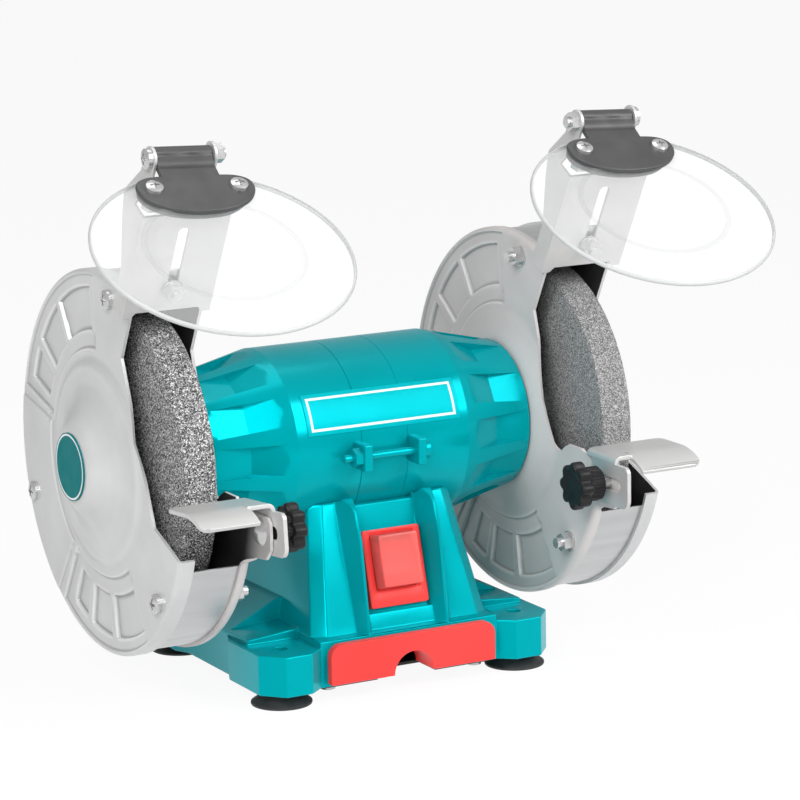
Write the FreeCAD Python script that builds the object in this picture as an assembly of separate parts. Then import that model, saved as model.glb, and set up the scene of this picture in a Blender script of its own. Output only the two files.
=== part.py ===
import FreeCAD, Part
import math
import os

# Bench grinder with two 150 mm wheels, guards, flip-up eye shields and tool rests.
# Frame: origin on the bench under the middle of the shaft, X along the shaft,
# Y towards the back, Z up.  Millimetres.

# Driving sizes
axis_h = 112.0
wheel_d = 150.0
wheel_w = 16.0
wheel_bore = 12.7
wheel_mid = 110.2
sheet = 1.5
band_sheet = 1.0
guard_gap = 16.0
plate_gap = 9.7
cover_gap = 7.8
rim_flange = 5.5
rim_round = 2.5
motor_r = 45.3
motor_half = 45.65
seam_x = 12.2
cone_x = 84.4
cone_r = 36.4
housing_wall = 4.0
spigot_r = 30.0
flute_count = 12
flute_w = 14.5
flute_start = 50.0
flute_floor_x = 66.0
shaft_r = 9.0
journal_r = 7.5
bearing_r = 17.5
bearing_w = 11.0
bearing_x = 68.5
flange_r = 25.0
flange_t = 6.2
outer_flange_t = 4.5
wheel_nut_af = 19.0
wheel_nut_h = 8.0
mouth_angle = 61.5
mouth_r = 62.0
band_low_angle = -23.8
guard_screw_r = 82.0
guard_screw_angles = (77.0, -41.0, -160.0)
guard_screw_d = 5.0
arm_front = 107.0
arm_bottom = -31.0
rest_sheet = 2.0
rest_bend_r = 1.5
rest_top = -3.8
rest_back = 81.5
rest_bend = 100.0
rest_front = 118.0
rest_roll = 30.0
rest_notch = 107.0
rest_out = 130.5
rest_corner = 4.0
rest_lip_in = 97.5
rest_lip_in_left = 101.5
rest_tilt_left = 5.0
rest_bolt_y = -98.0
rest_bolt_z = -17.3
rest_bolt_d = 6.0
knob_r = 11.5
knob_len = 14.5
knob_disc = 6.5
knob_collar_r = 8.2
knob_lobes = 8
knob_loose = 3.7
deflector_w = 44.0
deflector_lap = 2.5
deflector_bolt_up = 10.0
deflector_bolt_d = 5.0
deflector_slot = 31.0
deflector_edge = 10.5
ear_h = 19.7
pivot_back = 14.7
pivot_d = 5.0
ear_r = 5.6
roll_len = 27.5
roll_r = 4.5
shield_tilt = 32.3
shield_skew = 4.4
shield_a = 60.0
shield_b = 54.0
shield_mid = 62.5
shield_t = 2.4
wing_t = 2.5
wing_screw_s = 22.0
wing_screw_x = 20.0
wing_screw_d = 4.0
foot_x = 63.0
foot_y = 55.4
foot_r = 14.5
foot_h = 6.8
bench_hole_d = 6.5
base_h = 22.1
lug_h = 19.3
base_x = 77.5
base_y = 72.0
waist_x = 74.0
front_y = 66.0
front_x = 47.4
base_wall = 3.5
pedestal_low = (40.5, 59.8)
pedestal_high = (32.1, 40.7)
pedestal_z = 87.8
pedestal_cut = (6.4, 5.6)
saddle_t = 5.0
bezel_w = 31.0
bezel_h = 37.0
bezel_t = 4.0
bezel_tilt = 15.3
bezel_y = -53.0
bezel_z = 56.4
fin_in = 16.3
fin_out = 25.8
fin_edge = 1.4
fin_deep = 13.0
fin_low = 5.6
fin_peak = (-45.5, 90.5)
ledge_z = 85.3
step_y = 43.0
rocker_w = 20.0
rocker_swing = 14.0
rocker_off = 8.0
panel_w = 88.0
panel_t = 4.4
panel_h = 19.0
arch_r = 10.5

# Clearances
run_fit = 0.05
move_gap = 0.3
slot_fit = 0.1

# Derived positions
wheel_r = wheel_d / 2
wheel_in = wheel_mid - wheel_w / 2
wheel_out = wheel_mid + wheel_w / 2
plate_in = wheel_in - plate_gap
plate_out = plate_in - sheet
cover_in = wheel_out + cover_gap
cover_out = cover_in + sheet
guard_r = wheel_r + guard_gap
band_r = guard_r - sheet
base_bottom = foot_h
lug_top = base_bottom + lug_h
base_top = base_bottom + base_h
bolt_z = axis_h + rest_bolt_z
deflector_low = guard_r - deflector_lap
deflector_bolt_r = guard_r + deflector_bolt_up
deflector_high = deflector_bolt_r + deflector_slot + deflector_edge
pivot_r = deflector_high + ear_h
pivot_tilt = 90.0 - mouth_angle
mouth_rad = math.radians(mouth_angle)
pivot_y = -pivot_r * math.cos(mouth_rad) + pivot_back * math.sin(mouth_rad)
pivot_z = axis_h + pivot_r * math.sin(mouth_rad) + pivot_back * math.cos(mouth_rad)

V = FreeCAD.Vector
X_AXIS = V(1, 0, 0)
Y_AXIS = V(0, 1, 0)
Z_AXIS = V(0, 0, 1)
ORIGIN = V(0, 0, 0)


def box(x0, x1, y0, y1, z0, z1):
    return Part.makeBox(x1 - x0, y1 - y0, z1 - z0, V(x0, y0, z0))


def rod(r, x0, x1, y=0.0, z=axis_h):
    return Part.makeCylinder(r, x1 - x0, V(x0, y, z), X_AXIS)


def post(r, x, y, z0, z1):
    return Part.makeCylinder(r, z1 - z0, V(x, y, z0), Z_AXIS)


def tube(ro, ri, x0, x1, y=0.0, z=axis_h):
    return rod(ro, x0, x1, y, z).cut(rod(ri, x0 - 1, x1 + 1, y, z))


def polygon(points):
    return Part.Face(Part.makePolygon(points + [points[0]]))


def prism(points, x0, x1):
    # Outline in (y, z) run along X.
    return polygon([V(x0, y, z) for y, z in points]).extrude(V(x1 - x0, 0, 0))


def slab(points, z0, z1):
    # Outline in (x, y) run upwards.
    return polygon([V(x, y, z0) for x, y in points]).extrude(V(0, 0, z1 - z0))


def path(points):
    # Lines and three-point arcs in (x, r) above the shaft axis; an entry of four
    # numbers is an arc to the first pair through the second pair.
    def at(x, r):
        return V(x, 0, axis_h + r)
    edges = []
    last = points[0]
    for p in points[1:] + [points[0][:2]]:
        start = at(last[0], last[1])
        end = at(p[0], p[1])
        if len(p) == 4:
            edges.append(Part.Arc(start, at(p[2], p[3]), end).toShape())
        else:
            edges.append(Part.makeLine(start, end))
        last = p
    return Part.Wire(edges)


def turned(points):
    return Part.Face(path(points)).revolve(V(0, 0, axis_h), X_AXIS, 360)


def around(r, a0, a1, n=8):
    # Points of an arc about the shaft; angles in degrees up from the front.
    steps = [math.radians(a0 + (a1 - a0) * i / n) for i in range(n + 1)]
    return [(-r * math.cos(a), axis_h + r * math.sin(a)) for a in steps]


def sector(r0, r1, a0, a1, x0, x1):
    return prism(around(r0, a0, a1) + around(r1, a1, a0), x0, x1)


def placed(shape, pos, tilt=0.0):
    # A part made about the origin, leaned about X and then carried to its place.
    out = shape.copy()
    out.rotate(ORIGIN, X_AXIS, tilt)
    out.translate(pos)
    return out


def aimed(shape, direction, pos):
    # A part made along Z, turned to point along a direction.
    out = shape.copy()
    turn = FreeCAD.Rotation(Z_AXIS, direction)
    out.Placement = FreeCAD.Placement(pos, turn)
    return out


def mirrored(shape):
    return shape.mirror(ORIGIN, X_AXIS)


def joined(shapes):
    out = shapes[0]
    for s in shapes[1:]:
        out = out.fuse(s)
    return out.removeSplitter()


def softened(points):
    # Corners of an outline (u, v, radius) turned into short arcs.
    out = []
    n = len(points)
    for i, (u, v, r) in enumerate(points):
        if r == 0:
            out.append((u, v))
            continue
        pu, pv = points[i - 1][0] - u, points[i - 1][1] - v
        nu, nv = points[(i + 1) % n][0] - u, points[(i + 1) % n][1] - v
        pl, nl = math.hypot(pu, pv), math.hypot(nu, nv)
        pu, pv, nu, nv = pu / pl, pv / pl, nu / nl, nv / nl
        half_turn = math.acos(max(-1.0, min(1.0, pu * nu + pv * nv))) / 2
        reach = r / math.tan(half_turn)
        du, dv = pu + nu, pv + nv
        dl = math.hypot(du, dv)
        cu, cv = u + du / dl * r / math.sin(half_turn), v + dv / dl * r / math.sin(half_turn)
        a0 = math.atan2(v + pv * reach - cv, u + pu * reach - cu)
        a1 = math.atan2(v + nv * reach - cv, u + nu * reach - cu)
        turn = (a1 - a0 + math.pi) % (2 * math.pi) - math.pi
        for k in range(6):
            a = a0 + turn * k / 5
            out.append((cu + r * math.cos(a), cv + r * math.sin(a)))
    return out


def pan_screw(d, head_r, head_h, length):
    # Head above z = 0 with a cross recess, plain shank below.
    dome = 0.35 * head_h
    ball_r = (head_r ** 2 + dome ** 2) / (2 * dome)
    head = Part.makeCylinder(head_r, head_h)
    head = head.common(Part.makeSphere(ball_r, V(0, 0, head_h - ball_r)))
    for turn in (0, 90):
        bar = box(-0.55 * head_r, 0.55 * head_r, -0.13 * head_r, 0.13 * head_r,
                  0.45 * head_h, 2 * head_h)
        bar.rotate(ORIGIN, Z_AXIS, turn)
        head = head.cut(bar)
    return head.fuse(Part.makeCylinder(d / 2, length, V(0, 0, -length))).removeSplitter()


def hex_prism(af, h):
    r = af / math.sqrt(3)
    pts = [(r * math.cos(math.radians(60 * i)), r * math.sin(math.radians(60 * i))) for i in range(6)]
    return slab(pts, 0, h)


def hex_nut(af, h, bore_r):
    cone = Part.makeCone(0.5 * af + h, 0.5 * af - 0.1 * h, h + 0.15 * af)
    body = hex_prism(af, h).common(cone)
    return body.cut(Part.makeCylinder(bore_r, h + 2, V(0, 0, -1)))


def washer(ro, ri, h):
    return Part.makeCylinder(ro, h).cut(Part.makeCylinder(ri, h + 2, V(0, 0, -1)))


def save(name, shapes):
    if not isinstance(shapes, list):
        shapes = [shapes]
    solids = []
    for s in shapes:
        solids.extend(s.Solids)
    out = solids[0] if len(solids) == 1 else Part.makeCompound(solids)
    out.exportStep("parts/" + name + ".step")


def save_pair(name, shapes):
    # Built for the right-hand side; the left is its mirror image.
    if not isinstance(shapes, list):
        shapes = [shapes]
    save("right_" + name, shapes)
    save("left_" + name, [mirrored(s) for s in shapes])


def both_sides(shapes):
    return shapes + [mirrored(s) for s in shapes]


os.makedirs("parts", exist_ok=True)

# Motor end housings: fluted cones with a bearing seat and a spigot for the guard.
cone_slope = (motor_r - cone_r) / (cone_x - motor_half)
seat_end = bearing_x + bearing_w
cavity_x = seat_end - 3.5
cavity_r = cone_r - housing_wall
neck_r = journal_r + 3.5
boss_r = bearing_r + 5
housing = turned([
    (seam_x, motor_r), (motor_half, motor_r), (cone_x, cone_r), (cone_x, spigot_r),
    (plate_out, spigot_r), (plate_out, neck_r), (seat_end, neck_r), (seat_end, bearing_r),
    (bearing_x, bearing_r), (bearing_x, boss_r), (cavity_x, boss_r), (cavity_x, cavity_r),
    (flute_floor_x - 2, cavity_r), (flute_start - 2, motor_r - housing_wall), (seam_x, motor_r - housing_wall)])
flute_r = motor_r - (flute_start - motor_half) * cone_slope
flute_floor = cone_r - 0.2
flute = polygon([
    V(flute_start, 0, flute_r), V(flute_floor_x, 0, flute_floor), V(cone_x + 1, 0, flute_floor),
    V(cone_x + 1, 0, motor_r + 20), V(flute_start, 0, motor_r + 20)]).extrude(V(0, flute_w, 0))
flute.translate(V(0, -flute_w / 2, 0))
for i in range(flute_count):
    cutter = flute.copy()
    cutter.rotate(ORIGIN, X_AXIS, 360.0 * i / flute_count)
    cutter.translate(V(0, 0, axis_h))
    housing = housing.cut(cutter)

# Lugs at the seams take the two long tie screws, front and back.
tie_d = 3.8
tie_r = motor_r + 5.6
tie_head_r = 4.6
tie_nut_af = 8.0
tie_angles = (-1.5, 181.5)
lug_len = 4.4
lug_half = 6.3
tie_points = [around(tie_r, a, a, 1)[0] for a in tie_angles]
for a, (ty, tz) in zip(tie_angles, tie_points):
    lug = box(seam_x, seam_x + lug_len, -(tie_r + 5.0), -(motor_r - 2), -lug_half, lug_half)
    lug = placed(lug, ORIGIN, -a)
    lug.translate(V(0, 0, axis_h))
    housing = housing.fuse(lug)
housing = housing.removeSplitter()
for ty, tz in tie_points:
    housing = housing.cut(rod(tie_d / 2, seam_x - 1, seam_x + lug_len + 1, ty, tz))
    spot_r = max(tie_head_r, tie_nut_af / math.sqrt(3)) + move_gap
    housing = housing.cut(rod(spot_r, seam_x + lug_len, seam_x + lug_len + 12, ty, tz))

# Holes for the guard mounting screws in the spigot and one motor foot screw below.
mount_r = spigot_r - 6.0
mount_d = 5.0
mount_depth = 10.0
mount_points = [around(mount_r, 45 + 90 * i, 45 + 90 * i, 1)[0] for i in range(4)]
for my, mz in mount_points:
    housing = housing.cut(rod(mount_d / 2, plate_out - mount_depth, plate_out + 1, my, mz))
foot_screw_x = 26.0
foot_screw_d = 6.0
foot_screw_z = axis_h - motor_r
housing = housing.cut(post(foot_screw_d / 2, foot_screw_x, 0, foot_screw_z - 1, axis_h - motor_r + 6))
save_pair("end_housing", housing)

screws = []
nuts = []
for ty, tz in tie_points:
    reach = 2 * (seam_x + lug_len)
    screw = pan_screw(tie_d, tie_head_r, 4.0, reach + 8.5)
    screws.append(aimed(screw, X_AXIS, V(seam_x + lug_len, ty, tz)))
    nut = hex_nut(tie_nut_af, 4.0, tie_d / 2)
    nuts.append(aimed(nut, V(-1, 0, 0), V(-(seam_x + lug_len), ty, tz)))
save("tie_screws", screws + nuts)

# Stator: slotted lamination pack whose outside is the middle of the motor body.
yoke = 9.0
slot_deep = 10.3
air_gap = 0.4
slot_out = motor_r - yoke
stator_in = slot_out - slot_deep
rotor_r = stator_in - air_gap
stator = tube(motor_r, stator_in, -seam_x, seam_x)
slot_count = 18
for i in range(slot_count):
    cutter = box(-seam_x - 1, seam_x + 1, -2.0, 2.0, stator_in + 2.0, slot_out)
    cutter = cutter.fuse(box(-seam_x - 1, seam_x + 1, -0.8, 0.8, stator_in - 1, stator_in + 2.5))
    cutter.rotate(ORIGIN, X_AXIS, 360.0 * i / slot_count)
    cutter.translate(V(0, 0, axis_h))
    stator = stator.cut(cutter)
save("stator_core", stator)

# Copper end turns in front of and behind the lamination pack.
turn_len = 17.0
turn_out = slot_out
turn_in = stator_in + 3.0
turn_mid = (turn_out + turn_in) / 2
crown = seam_x + turn_len
turns = turned([
    (seam_x, turn_in), (seam_x, turn_out), (crown - 5, turn_out),
    (crown - 5, turn_in, crown, turn_mid)])
save("stator_windings", both_sides([turns]))

# Rotor: lamination pack with short-circuit rings, pressed on the shaft.
rotor = tube(rotor_r, shaft_r, -seam_x, seam_x)
save("rotor_core", rotor)
ring = tube(rotor_r - 1.5, shaft_r + 5, seam_x, seam_x + 5)
for i in range(8):
    blade = box(seam_x + 5, seam_x + 11, -0.8, 0.8, shaft_r + 7, rotor_r - 3)
    blade.rotate(ORIGIN, X_AXIS, 45 * i)
    blade.translate(V(0, 0, axis_h))
    ring = ring.fuse(blade)
save("rotor_rings", both_sides([ring.removeSplitter()]))

# Shaft with bearing journals and reduced, nut-carrying ends.
spindle_r = wheel_bore / 2 - 0.1
shoulder_x = wheel_in - flange_t
shaft_end = wheel_out + outer_flange_t + wheel_nut_h + 3.0
shaft_half = turned([
    (0, 0), (0, shaft_r), (bearing_x, shaft_r), (bearing_x, journal_r), (shoulder_x, journal_r),
    (shoulder_x, spindle_r), (shaft_end - 1, spindle_r), (shaft_end, spindle_r - 1), (shaft_end, 0)])
shaft = shaft_half.fuse(mirrored(shaft_half)).removeSplitter()
save("shaft", shaft)

# Ball bearings: outer race in the housing, inner race on the journal, balls between.
race_out = bearing_r - 3.2
race_in = journal_r + 3.2
ball_ring = (race_out + race_in) / 2
ball_r = 2.4
bearing_mid = bearing_x + bearing_w / 2


def torus(r):
    return Part.makeTorus(ball_ring, r, V(bearing_mid, 0, axis_h), X_AXIS)


groove = torus(ball_r + run_fit)
outer_race = tube(bearing_r, race_out, bearing_x, seat_end).cut(groove)
inner_race = tube(race_in, journal_r, bearing_x, seat_end).cut(groove)
save("bearing_outer_races", both_sides([outer_race]))
save("bearing_inner_races", both_sides([inner_race]))
balls = []
cage = tube(ball_ring + 0.7, ball_ring - 0.7, bearing_mid - 3.2, bearing_mid + 3.2)
for i in range(8):
    a = math.radians(45 * i)
    spot = V(bearing_mid, ball_ring * math.cos(a), axis_h + ball_ring * math.sin(a))
    balls.append(Part.makeSphere(ball_r, spot))
    cage = cage.cut(Part.makeSphere(ball_r, spot))
save("bearing_balls", both_sides(balls))
save("bearing_cages", both_sides([cage]))

# Wheels and their clamping flanges and nuts.
wheel = turned([
    (wheel_in, wheel_bore / 2), (wheel_in, wheel_r - 0.8), (wheel_in + 0.8, wheel_r),
    (wheel_out - 0.8, wheel_r), (wheel_out, wheel_r - 0.8), (wheel_out, wheel_bore / 2)])
save_pair("wheel", wheel)
inner_flange = turned([
    (shoulder_x, spindle_r), (shoulder_x, spindle_r + 6), (shoulder_x + 2, flange_r - 2),
    (shoulder_x + 3, flange_r), (wheel_in, flange_r), (wheel_in, flange_r - 7),
    (wheel_in - 1.2, flange_r - 8), (wheel_in - 1.2, spindle_r)])
save("inner_flanges", both_sides([inner_flange]))
flange_end = wheel_out + outer_flange_t
outer_flange = turned([
    (flange_end, spindle_r), (flange_end, spindle_r + 8), (flange_end - 2, flange_r - 2),
    (flange_end - 3, flange_r), (wheel_out, flange_r), (wheel_out, flange_r - 7),
    (wheel_out + 1.2, flange_r - 8), (wheel_out + 1.2, spindle_r)])
save("outer_flanges", both_sides([outer_flange]))
wheel_nut = hex_nut(wheel_nut_af, wheel_nut_h, spindle_r)
save("wheel_nuts", both_sides([aimed(wheel_nut, X_AXIS, V(flange_end, 0, axis_h))]))

# Guard inner plate: dished disc with a mouth at the front and an arm for the tool rest.
# The left arm is cut lower, clear of the tipped rest.
windows = ((95, 122), (125, 144), (148, 160), (-82, -59), (-102, -86), (-116, -106))
window_r = (guard_screw_r - 20, guard_r - 8)
emboss = 0.6
ridge_r = guard_r - 37
ridge_w = 2.4
hub_hole_r = neck_r + 4
far = 2 * guard_r
mouth_top = around(mouth_r, mouth_angle, mouth_angle, 1)[0]
mouth_far = around(far, mouth_angle, mouth_angle, 1)[0]
screw_points = [around(guard_screw_r, a, a, 1)[0] for a in guard_screw_angles]
rest_slot = (-10.0, 7.5)
rest_dip = (rest_slot[1] - rest_bolt_y - rest_back) * math.sin(math.radians(rest_tilt_left))
crest_z = axis_h + rest_top - rest_sheet - 0.4
arm_low = axis_h + arm_bottom


def guard_plate(dip):
    arm_z = axis_h + rest_top - rest_sheet - rest_bend_r - dip
    plate = turned([
        (plate_out, hub_hole_r), (plate_out, guard_r - rim_round),
        (plate_out + rim_round, guard_r, plate_out + 0.29 * rim_round, guard_r - 0.29 * rim_round),
        (plate_in + rim_flange, guard_r), (plate_in + rim_flange, band_r), (plate_in, band_r),
        (plate_in, hub_hole_r)])
    for a0, a1 in windows:
        plate = plate.cut(sector(window_r[0], window_r[1], a0, a1, plate_out - 1, plate_out + emboss))
    mouth = [
        mouth_far, mouth_top, (-48.5, crest_z - 1.5), (-50.5, crest_z - 4), (-54, crest_z - 5),
        (-57.5, crest_z - 2), (-61.5, crest_z), (7.5 - rest_back, crest_z), (6.5 - rest_back, arm_z),
        (-far, arm_z), (-far, mouth_far[1])]
    arm = prism([
        (-60, crest_z - 12), (-60, arm_low - 12), (-80, arm_low - 12), (-92, arm_low), (5 - arm_front, arm_low),
        (-arm_front, arm_low + 5), (-arm_front, arm_z - 4), (4 - arm_front, arm_z), (-80, crest_z),
        (-66, crest_z)], plate_out, plate_in)
    lip_cut = box(plate_in, plate_in + rim_flange + 1, -far, -70, arm_low, axis_h + 40)
    lip_clear = box(plate_out - 1, plate_in, -far, -arm_front, arm_low - 30, axis_h)
    plate = plate.cut(lip_cut).fuse(arm).removeSplitter()
    plate = plate.cut(prism(mouth, plate_out - 1, plate_in + rim_flange + 1)).cut(lip_clear)
    ridge = sector(ridge_r - ridge_w / 2, ridge_r + ridge_w / 2, 92, 160, plate_out - emboss, plate_out)
    spoke = box(plate_out - emboss, plate_out, -ridge_w / 2, ridge_w / 2, axis_h + ridge_r, axis_h + guard_r - 4)
    plate = plate.fuse(ridge).fuse(spoke)
    for sy, sz in screw_points:
        plate = plate.cut(rod(guard_screw_d / 2, plate_out - 2, plate_in + 1, sy, sz))
    for my, mz in mount_points:
        plate = plate.cut(rod(mount_d / 2, plate_out - 1, plate_in + 1, my, mz))
    return plate.cut(rod(rest_bolt_d / 2, plate_out - 1, plate_in + 1, rest_bolt_y, bolt_z))


save("right_guard_plate", guard_plate(0))
save("left_guard_plate", mirrored(guard_plate(rest_dip)))

# Guard cover: pressed disc with a bell over the spindle nut.
bell_r = 46.0
bell_top_r = 17.0
bell_h = 13.9
bell_top = cover_out + bell_h
shift = sheet
cover = turned([
    (cover_out - rim_round - rim_flange, guard_r), (cover_out - rim_round, guard_r),
    (cover_out, guard_r - rim_round, cover_out - 0.29 * rim_round, guard_r - 0.29 * rim_round),
    (cover_out, bell_r), (cover_out + 0.43 * bell_h, 0.65 * bell_r, cover_out + 0.13 * bell_h, 0.81 * bell_r),
    (bell_top - 1.6, bell_top_r + 3.6), (bell_top, bell_top_r, bell_top - 0.5, bell_top_r + 1.6), (bell_top, 0),
    (bell_top - shift, 0), (bell_top - shift, bell_top_r),
    (bell_top - shift - 1.6, bell_top_r + 3.6, bell_top - shift - 0.5, bell_top_r + 1.6),
    (cover_in + 0.43 * bell_h, 0.65 * bell_r),
    (cover_in, bell_r, cover_in + 0.13 * bell_h, 0.81 * bell_r),
    (cover_in, band_r), (cover_out - rim_round - rim_flange, band_r)])
for a0, a1 in windows:
    cover = cover.cut(sector(window_r[0], window_r[1], a0, a1, cover_out - emboss, cover_out + 1))
cover_mouth = [
    mouth_far, mouth_top, (-59.3, axis_h - 19.2), (-88.5, axis_h - 31), (-far, axis_h - 63),
    (-far, mouth_far[1])]
cover = cover.cut(prism(cover_mouth, cover_out - rim_round - rim_flange - 1, bell_top + 1))
ridge = sector(ridge_r - ridge_w / 2, ridge_r + ridge_w / 2, 92, 160, cover_out, cover_out + emboss)
spoke = box(cover_out, cover_out + emboss, -ridge_w / 2, ridge_w / 2, axis_h + ridge_r, axis_h + guard_r - 4)
cover = cover.fuse(ridge).fuse(spoke)
for sy, sz in screw_points:
    cover = cover.cut(rod(guard_screw_d / 2, cover_in - 1, cover_out + 2, sy, sz))
save_pair("guard_cover", cover)
badge_t = 0.8
save("hub_badges", both_sides([rod(bell_top_r - 1, bell_top, bell_top + badge_t)]))

# Band between plate and cover; its upper front end is turned out as a tab.
band = tube(band_r, band_r - band_sheet, plate_in, cover_in)
gap_wedge = [(0, axis_h)] + around(far, band_low_angle, mouth_angle, 8)
band = band.cut(prism(gap_wedge, plate_in - 1, cover_in + 1))
tab_t = 1.2
tab_in = plate_in + rim_flange + 1.0
tab_out = cover_out - rim_round - rim_flange - 1.0
tab_high = deflector_bolt_r + 9.0
tab = box(tab_in, tab_out, 0, tab_t, band_r - band_sheet, tab_high)
bolt_axis = V(wheel_mid, 0, deflector_bolt_r)
tab = tab.cut(Part.makeCylinder(deflector_bolt_d / 2, 10, bolt_axis + V(0, -5, 0), Y_AXIS))
band = band.fuse(placed(tab, V(0, 0, axis_h), pivot_tilt)).removeSplitter()
save_pair("guard_band", band)

# Guard screws with spacer tubes inside and nuts with washers on the motor side.
washer_t = 1.0
nut_h = 4.0
stud = 3.0
spacer_r = guard_screw_d / 2 + 1.5
screws = []
spacers = []
nuts = []
washers = []
for sy, sz in screw_points:
    length = cover_out - plate_out + washer_t + nut_h + stud
    screws.append(aimed(pan_screw(guard_screw_d, 4.7, 3.2, length), X_AXIS, V(cover_out, sy, sz)))
    spacers.append(tube(spacer_r, guard_screw_d / 2, plate_in, cover_in, sy, sz))
    washers.append(tube(5.0, guard_screw_d / 2, plate_out - washer_t, plate_out, sy, sz))
    nuts.append(aimed(hex_nut(8.0, nut_h, guard_screw_d / 2), V(-1, 0, 0), V(plate_out - washer_t, sy, sz)))
save("guard_screws", both_sides(screws))
save("guard_spacers", both_sides(spacers))
save("guard_nuts", both_sides(nuts + washers))
mounts = []
for my, mz in mount_points:
    mounts.append(aimed(pan_screw(mount_d, 4.4, 2.6, mount_depth), X_AXIS, V(plate_in, my, mz)))
save("guard_mount_screws", both_sides(mounts))

# Spark deflector: sheet channel straddling the guard, made upright about the shaft
# and leaned forward with the mouth edge; its two ears carry the shield pivot.
half = deflector_w / 2
face_back = -move_gap
face_front = face_back - sheet
leg = 4.5
ear_in = roll_len / 2 + move_gap
ear_out = ear_in + sheet
ear_front = pivot_back - ear_r
ear_back = pivot_back + ear_r
ear_swing = 2.2 * ear_r
ear_low = deflector_high + ear_h / 2
face = polygon([
    V(-half, face_front, deflector_low - 2.5), V(-half + leg, face_front, deflector_low - 2.5),
    V(-half + leg + 2, face_front, deflector_low), V(half - leg - 2, face_front, deflector_low),
    V(half - leg, face_front, deflector_low - 2.5), V(half, face_front, deflector_low - 2.5),
    V(half, face_front, deflector_high), V(-half, face_front, deflector_high)])
deflector = face.extrude(V(0, sheet, 0))
slot_r = deflector_bolt_d / 2 + slot_fit
slot_high = deflector_bolt_r + deflector_slot
slot = box(-slot_r, slot_r, face_front - 1, face_back + 1, deflector_bolt_r, slot_high)
for z in (deflector_bolt_r, slot_high):
    slot = slot.fuse(Part.makeCylinder(slot_r, sheet + 2, V(0, face_front - 1, z), Y_AXIS))
deflector = deflector.cut(slot)
for side in (-1, 1):
    x0 = side * half
    x1 = side * (half - sheet)
    wall = prism([
        (face_front, deflector_low - 2.5), (9, deflector_low - 2.5), (9, deflector_low + 20),
        (ear_back - 3, deflector_high - 12), (ear_back, deflector_high), (face_front, deflector_high)],
        min(x0, x1), max(x0, x1))
    lower = Part.makePolygon([
        V(x0, ear_front, deflector_high), V(x1, ear_front, deflector_high),
        V(x1, ear_back, deflector_high), V(x0, ear_back, deflector_high),
        V(x0, ear_front, deflector_high)])
    e0 = side * ear_out
    e1 = side * ear_in
    upper = Part.makePolygon([
        V(e0, ear_front, ear_low), V(e1, ear_front, ear_low), V(e1, ear_back, ear_low),
        V(e0, ear_back, ear_low), V(e0, ear_front, ear_low)])
    joggle = Part.makeLoft([lower, upper], True, True)
    ear = box(min(e0, e1), max(e0, e1), ear_front, ear_back, ear_low, pivot_r)
    ear = ear.fuse(rod(ear_r, min(e0, e1), max(e0, e1), pivot_back, pivot_r))
    deflector = deflector.fuse(wall).fuse(joggle).fuse(ear)
deflector = deflector.removeSplitter()
deflector = deflector.cut(rod(pivot_d / 2, -half, half, pivot_back, pivot_r))
save_pair("spark_deflector", placed(deflector, V(wheel_mid, 0, axis_h), pivot_tilt))

# Bolt through the tab and the slot, with a washer and nut at the front.
bolt_len = tab_t - face_front + move_gap + washer_t + nut_h + 2.0
head = hex_prism(8.0, 3.5)
shank = Part.makeCylinder(deflector_bolt_d / 2, bolt_len, V(0, 0, -bolt_len))
bolt = aimed(head.fuse(shank).removeSplitter(), Y_AXIS, V(wheel_mid, tab_t, deflector_bolt_r))
front_seat = face_front - move_gap
ring = aimed(washer(5.0, deflector_bolt_d / 2, washer_t), V(0, -1, 0), V(wheel_mid, front_seat, deflector_bolt_r))
nut = aimed(hex_nut(8.0, nut_h, deflector_bolt_d / 2), V(0, -1, 0),
            V(wheel_mid, front_seat - washer_t, deflector_bolt_r))
leaned = []
for s in (bolt, ring, nut):
    turn = s.copy()
    turn.rotate(ORIGIN, X_AXIS, pivot_tilt)
    turn.translate(V(0, 0, axis_h))
    leaned.append(turn)
save("deflector_bolts", both_sides(leaned))

# Shield pivot bolt: head outside, nut on the motor side.
pivot_out = wheel_mid + ear_out
pivot_in = wheel_mid - ear_out
pin_len = pivot_out - pivot_in + nut_h + 1.5
pin = aimed(pan_screw(pivot_d, 4.7, 3.2, pin_len), X_AXIS, V(pivot_out, pivot_y, pivot_z))
pin_nut = aimed(hex_nut(8.0, nut_h, pivot_d / 2), V(-1, 0, 0), V(pivot_in, pivot_y, pivot_z))
save_pair("pivot_bolt", [pin, pin_nut])

# Eye shield and its clamp, made flat about the pivot with the front along -Y.
hinge_h = 0.0
top_low = hinge_h - wing_t
shield_low = top_low - shield_t
under_low = shield_low - wing_t
wing_half = wing_screw_x + 8.2
wing_back = wing_screw_s - 8.8
wing_front = wing_screw_s + 17.5
wing = [(-roll_len / 2, -wing_back), (roll_len / 2, -wing_back)]
corner = 7.0
wing += [
    (wing_half - corner, -wing_back - 0.5), (wing_half - 2, -wing_back - 3), (wing_half, -wing_back - corner),
    (wing_half - 1.5, -wing_screw_s - 4), (0.75 * wing_half, -wing_screw_s - 9.5),
    (0.5 * wing_half, -wing_front + 3.5), (0.25 * wing_half, -wing_front + 0.9), (0, -wing_front)]
wing += [(-x, y) for x, y in reversed(wing[2:-1])]


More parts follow.
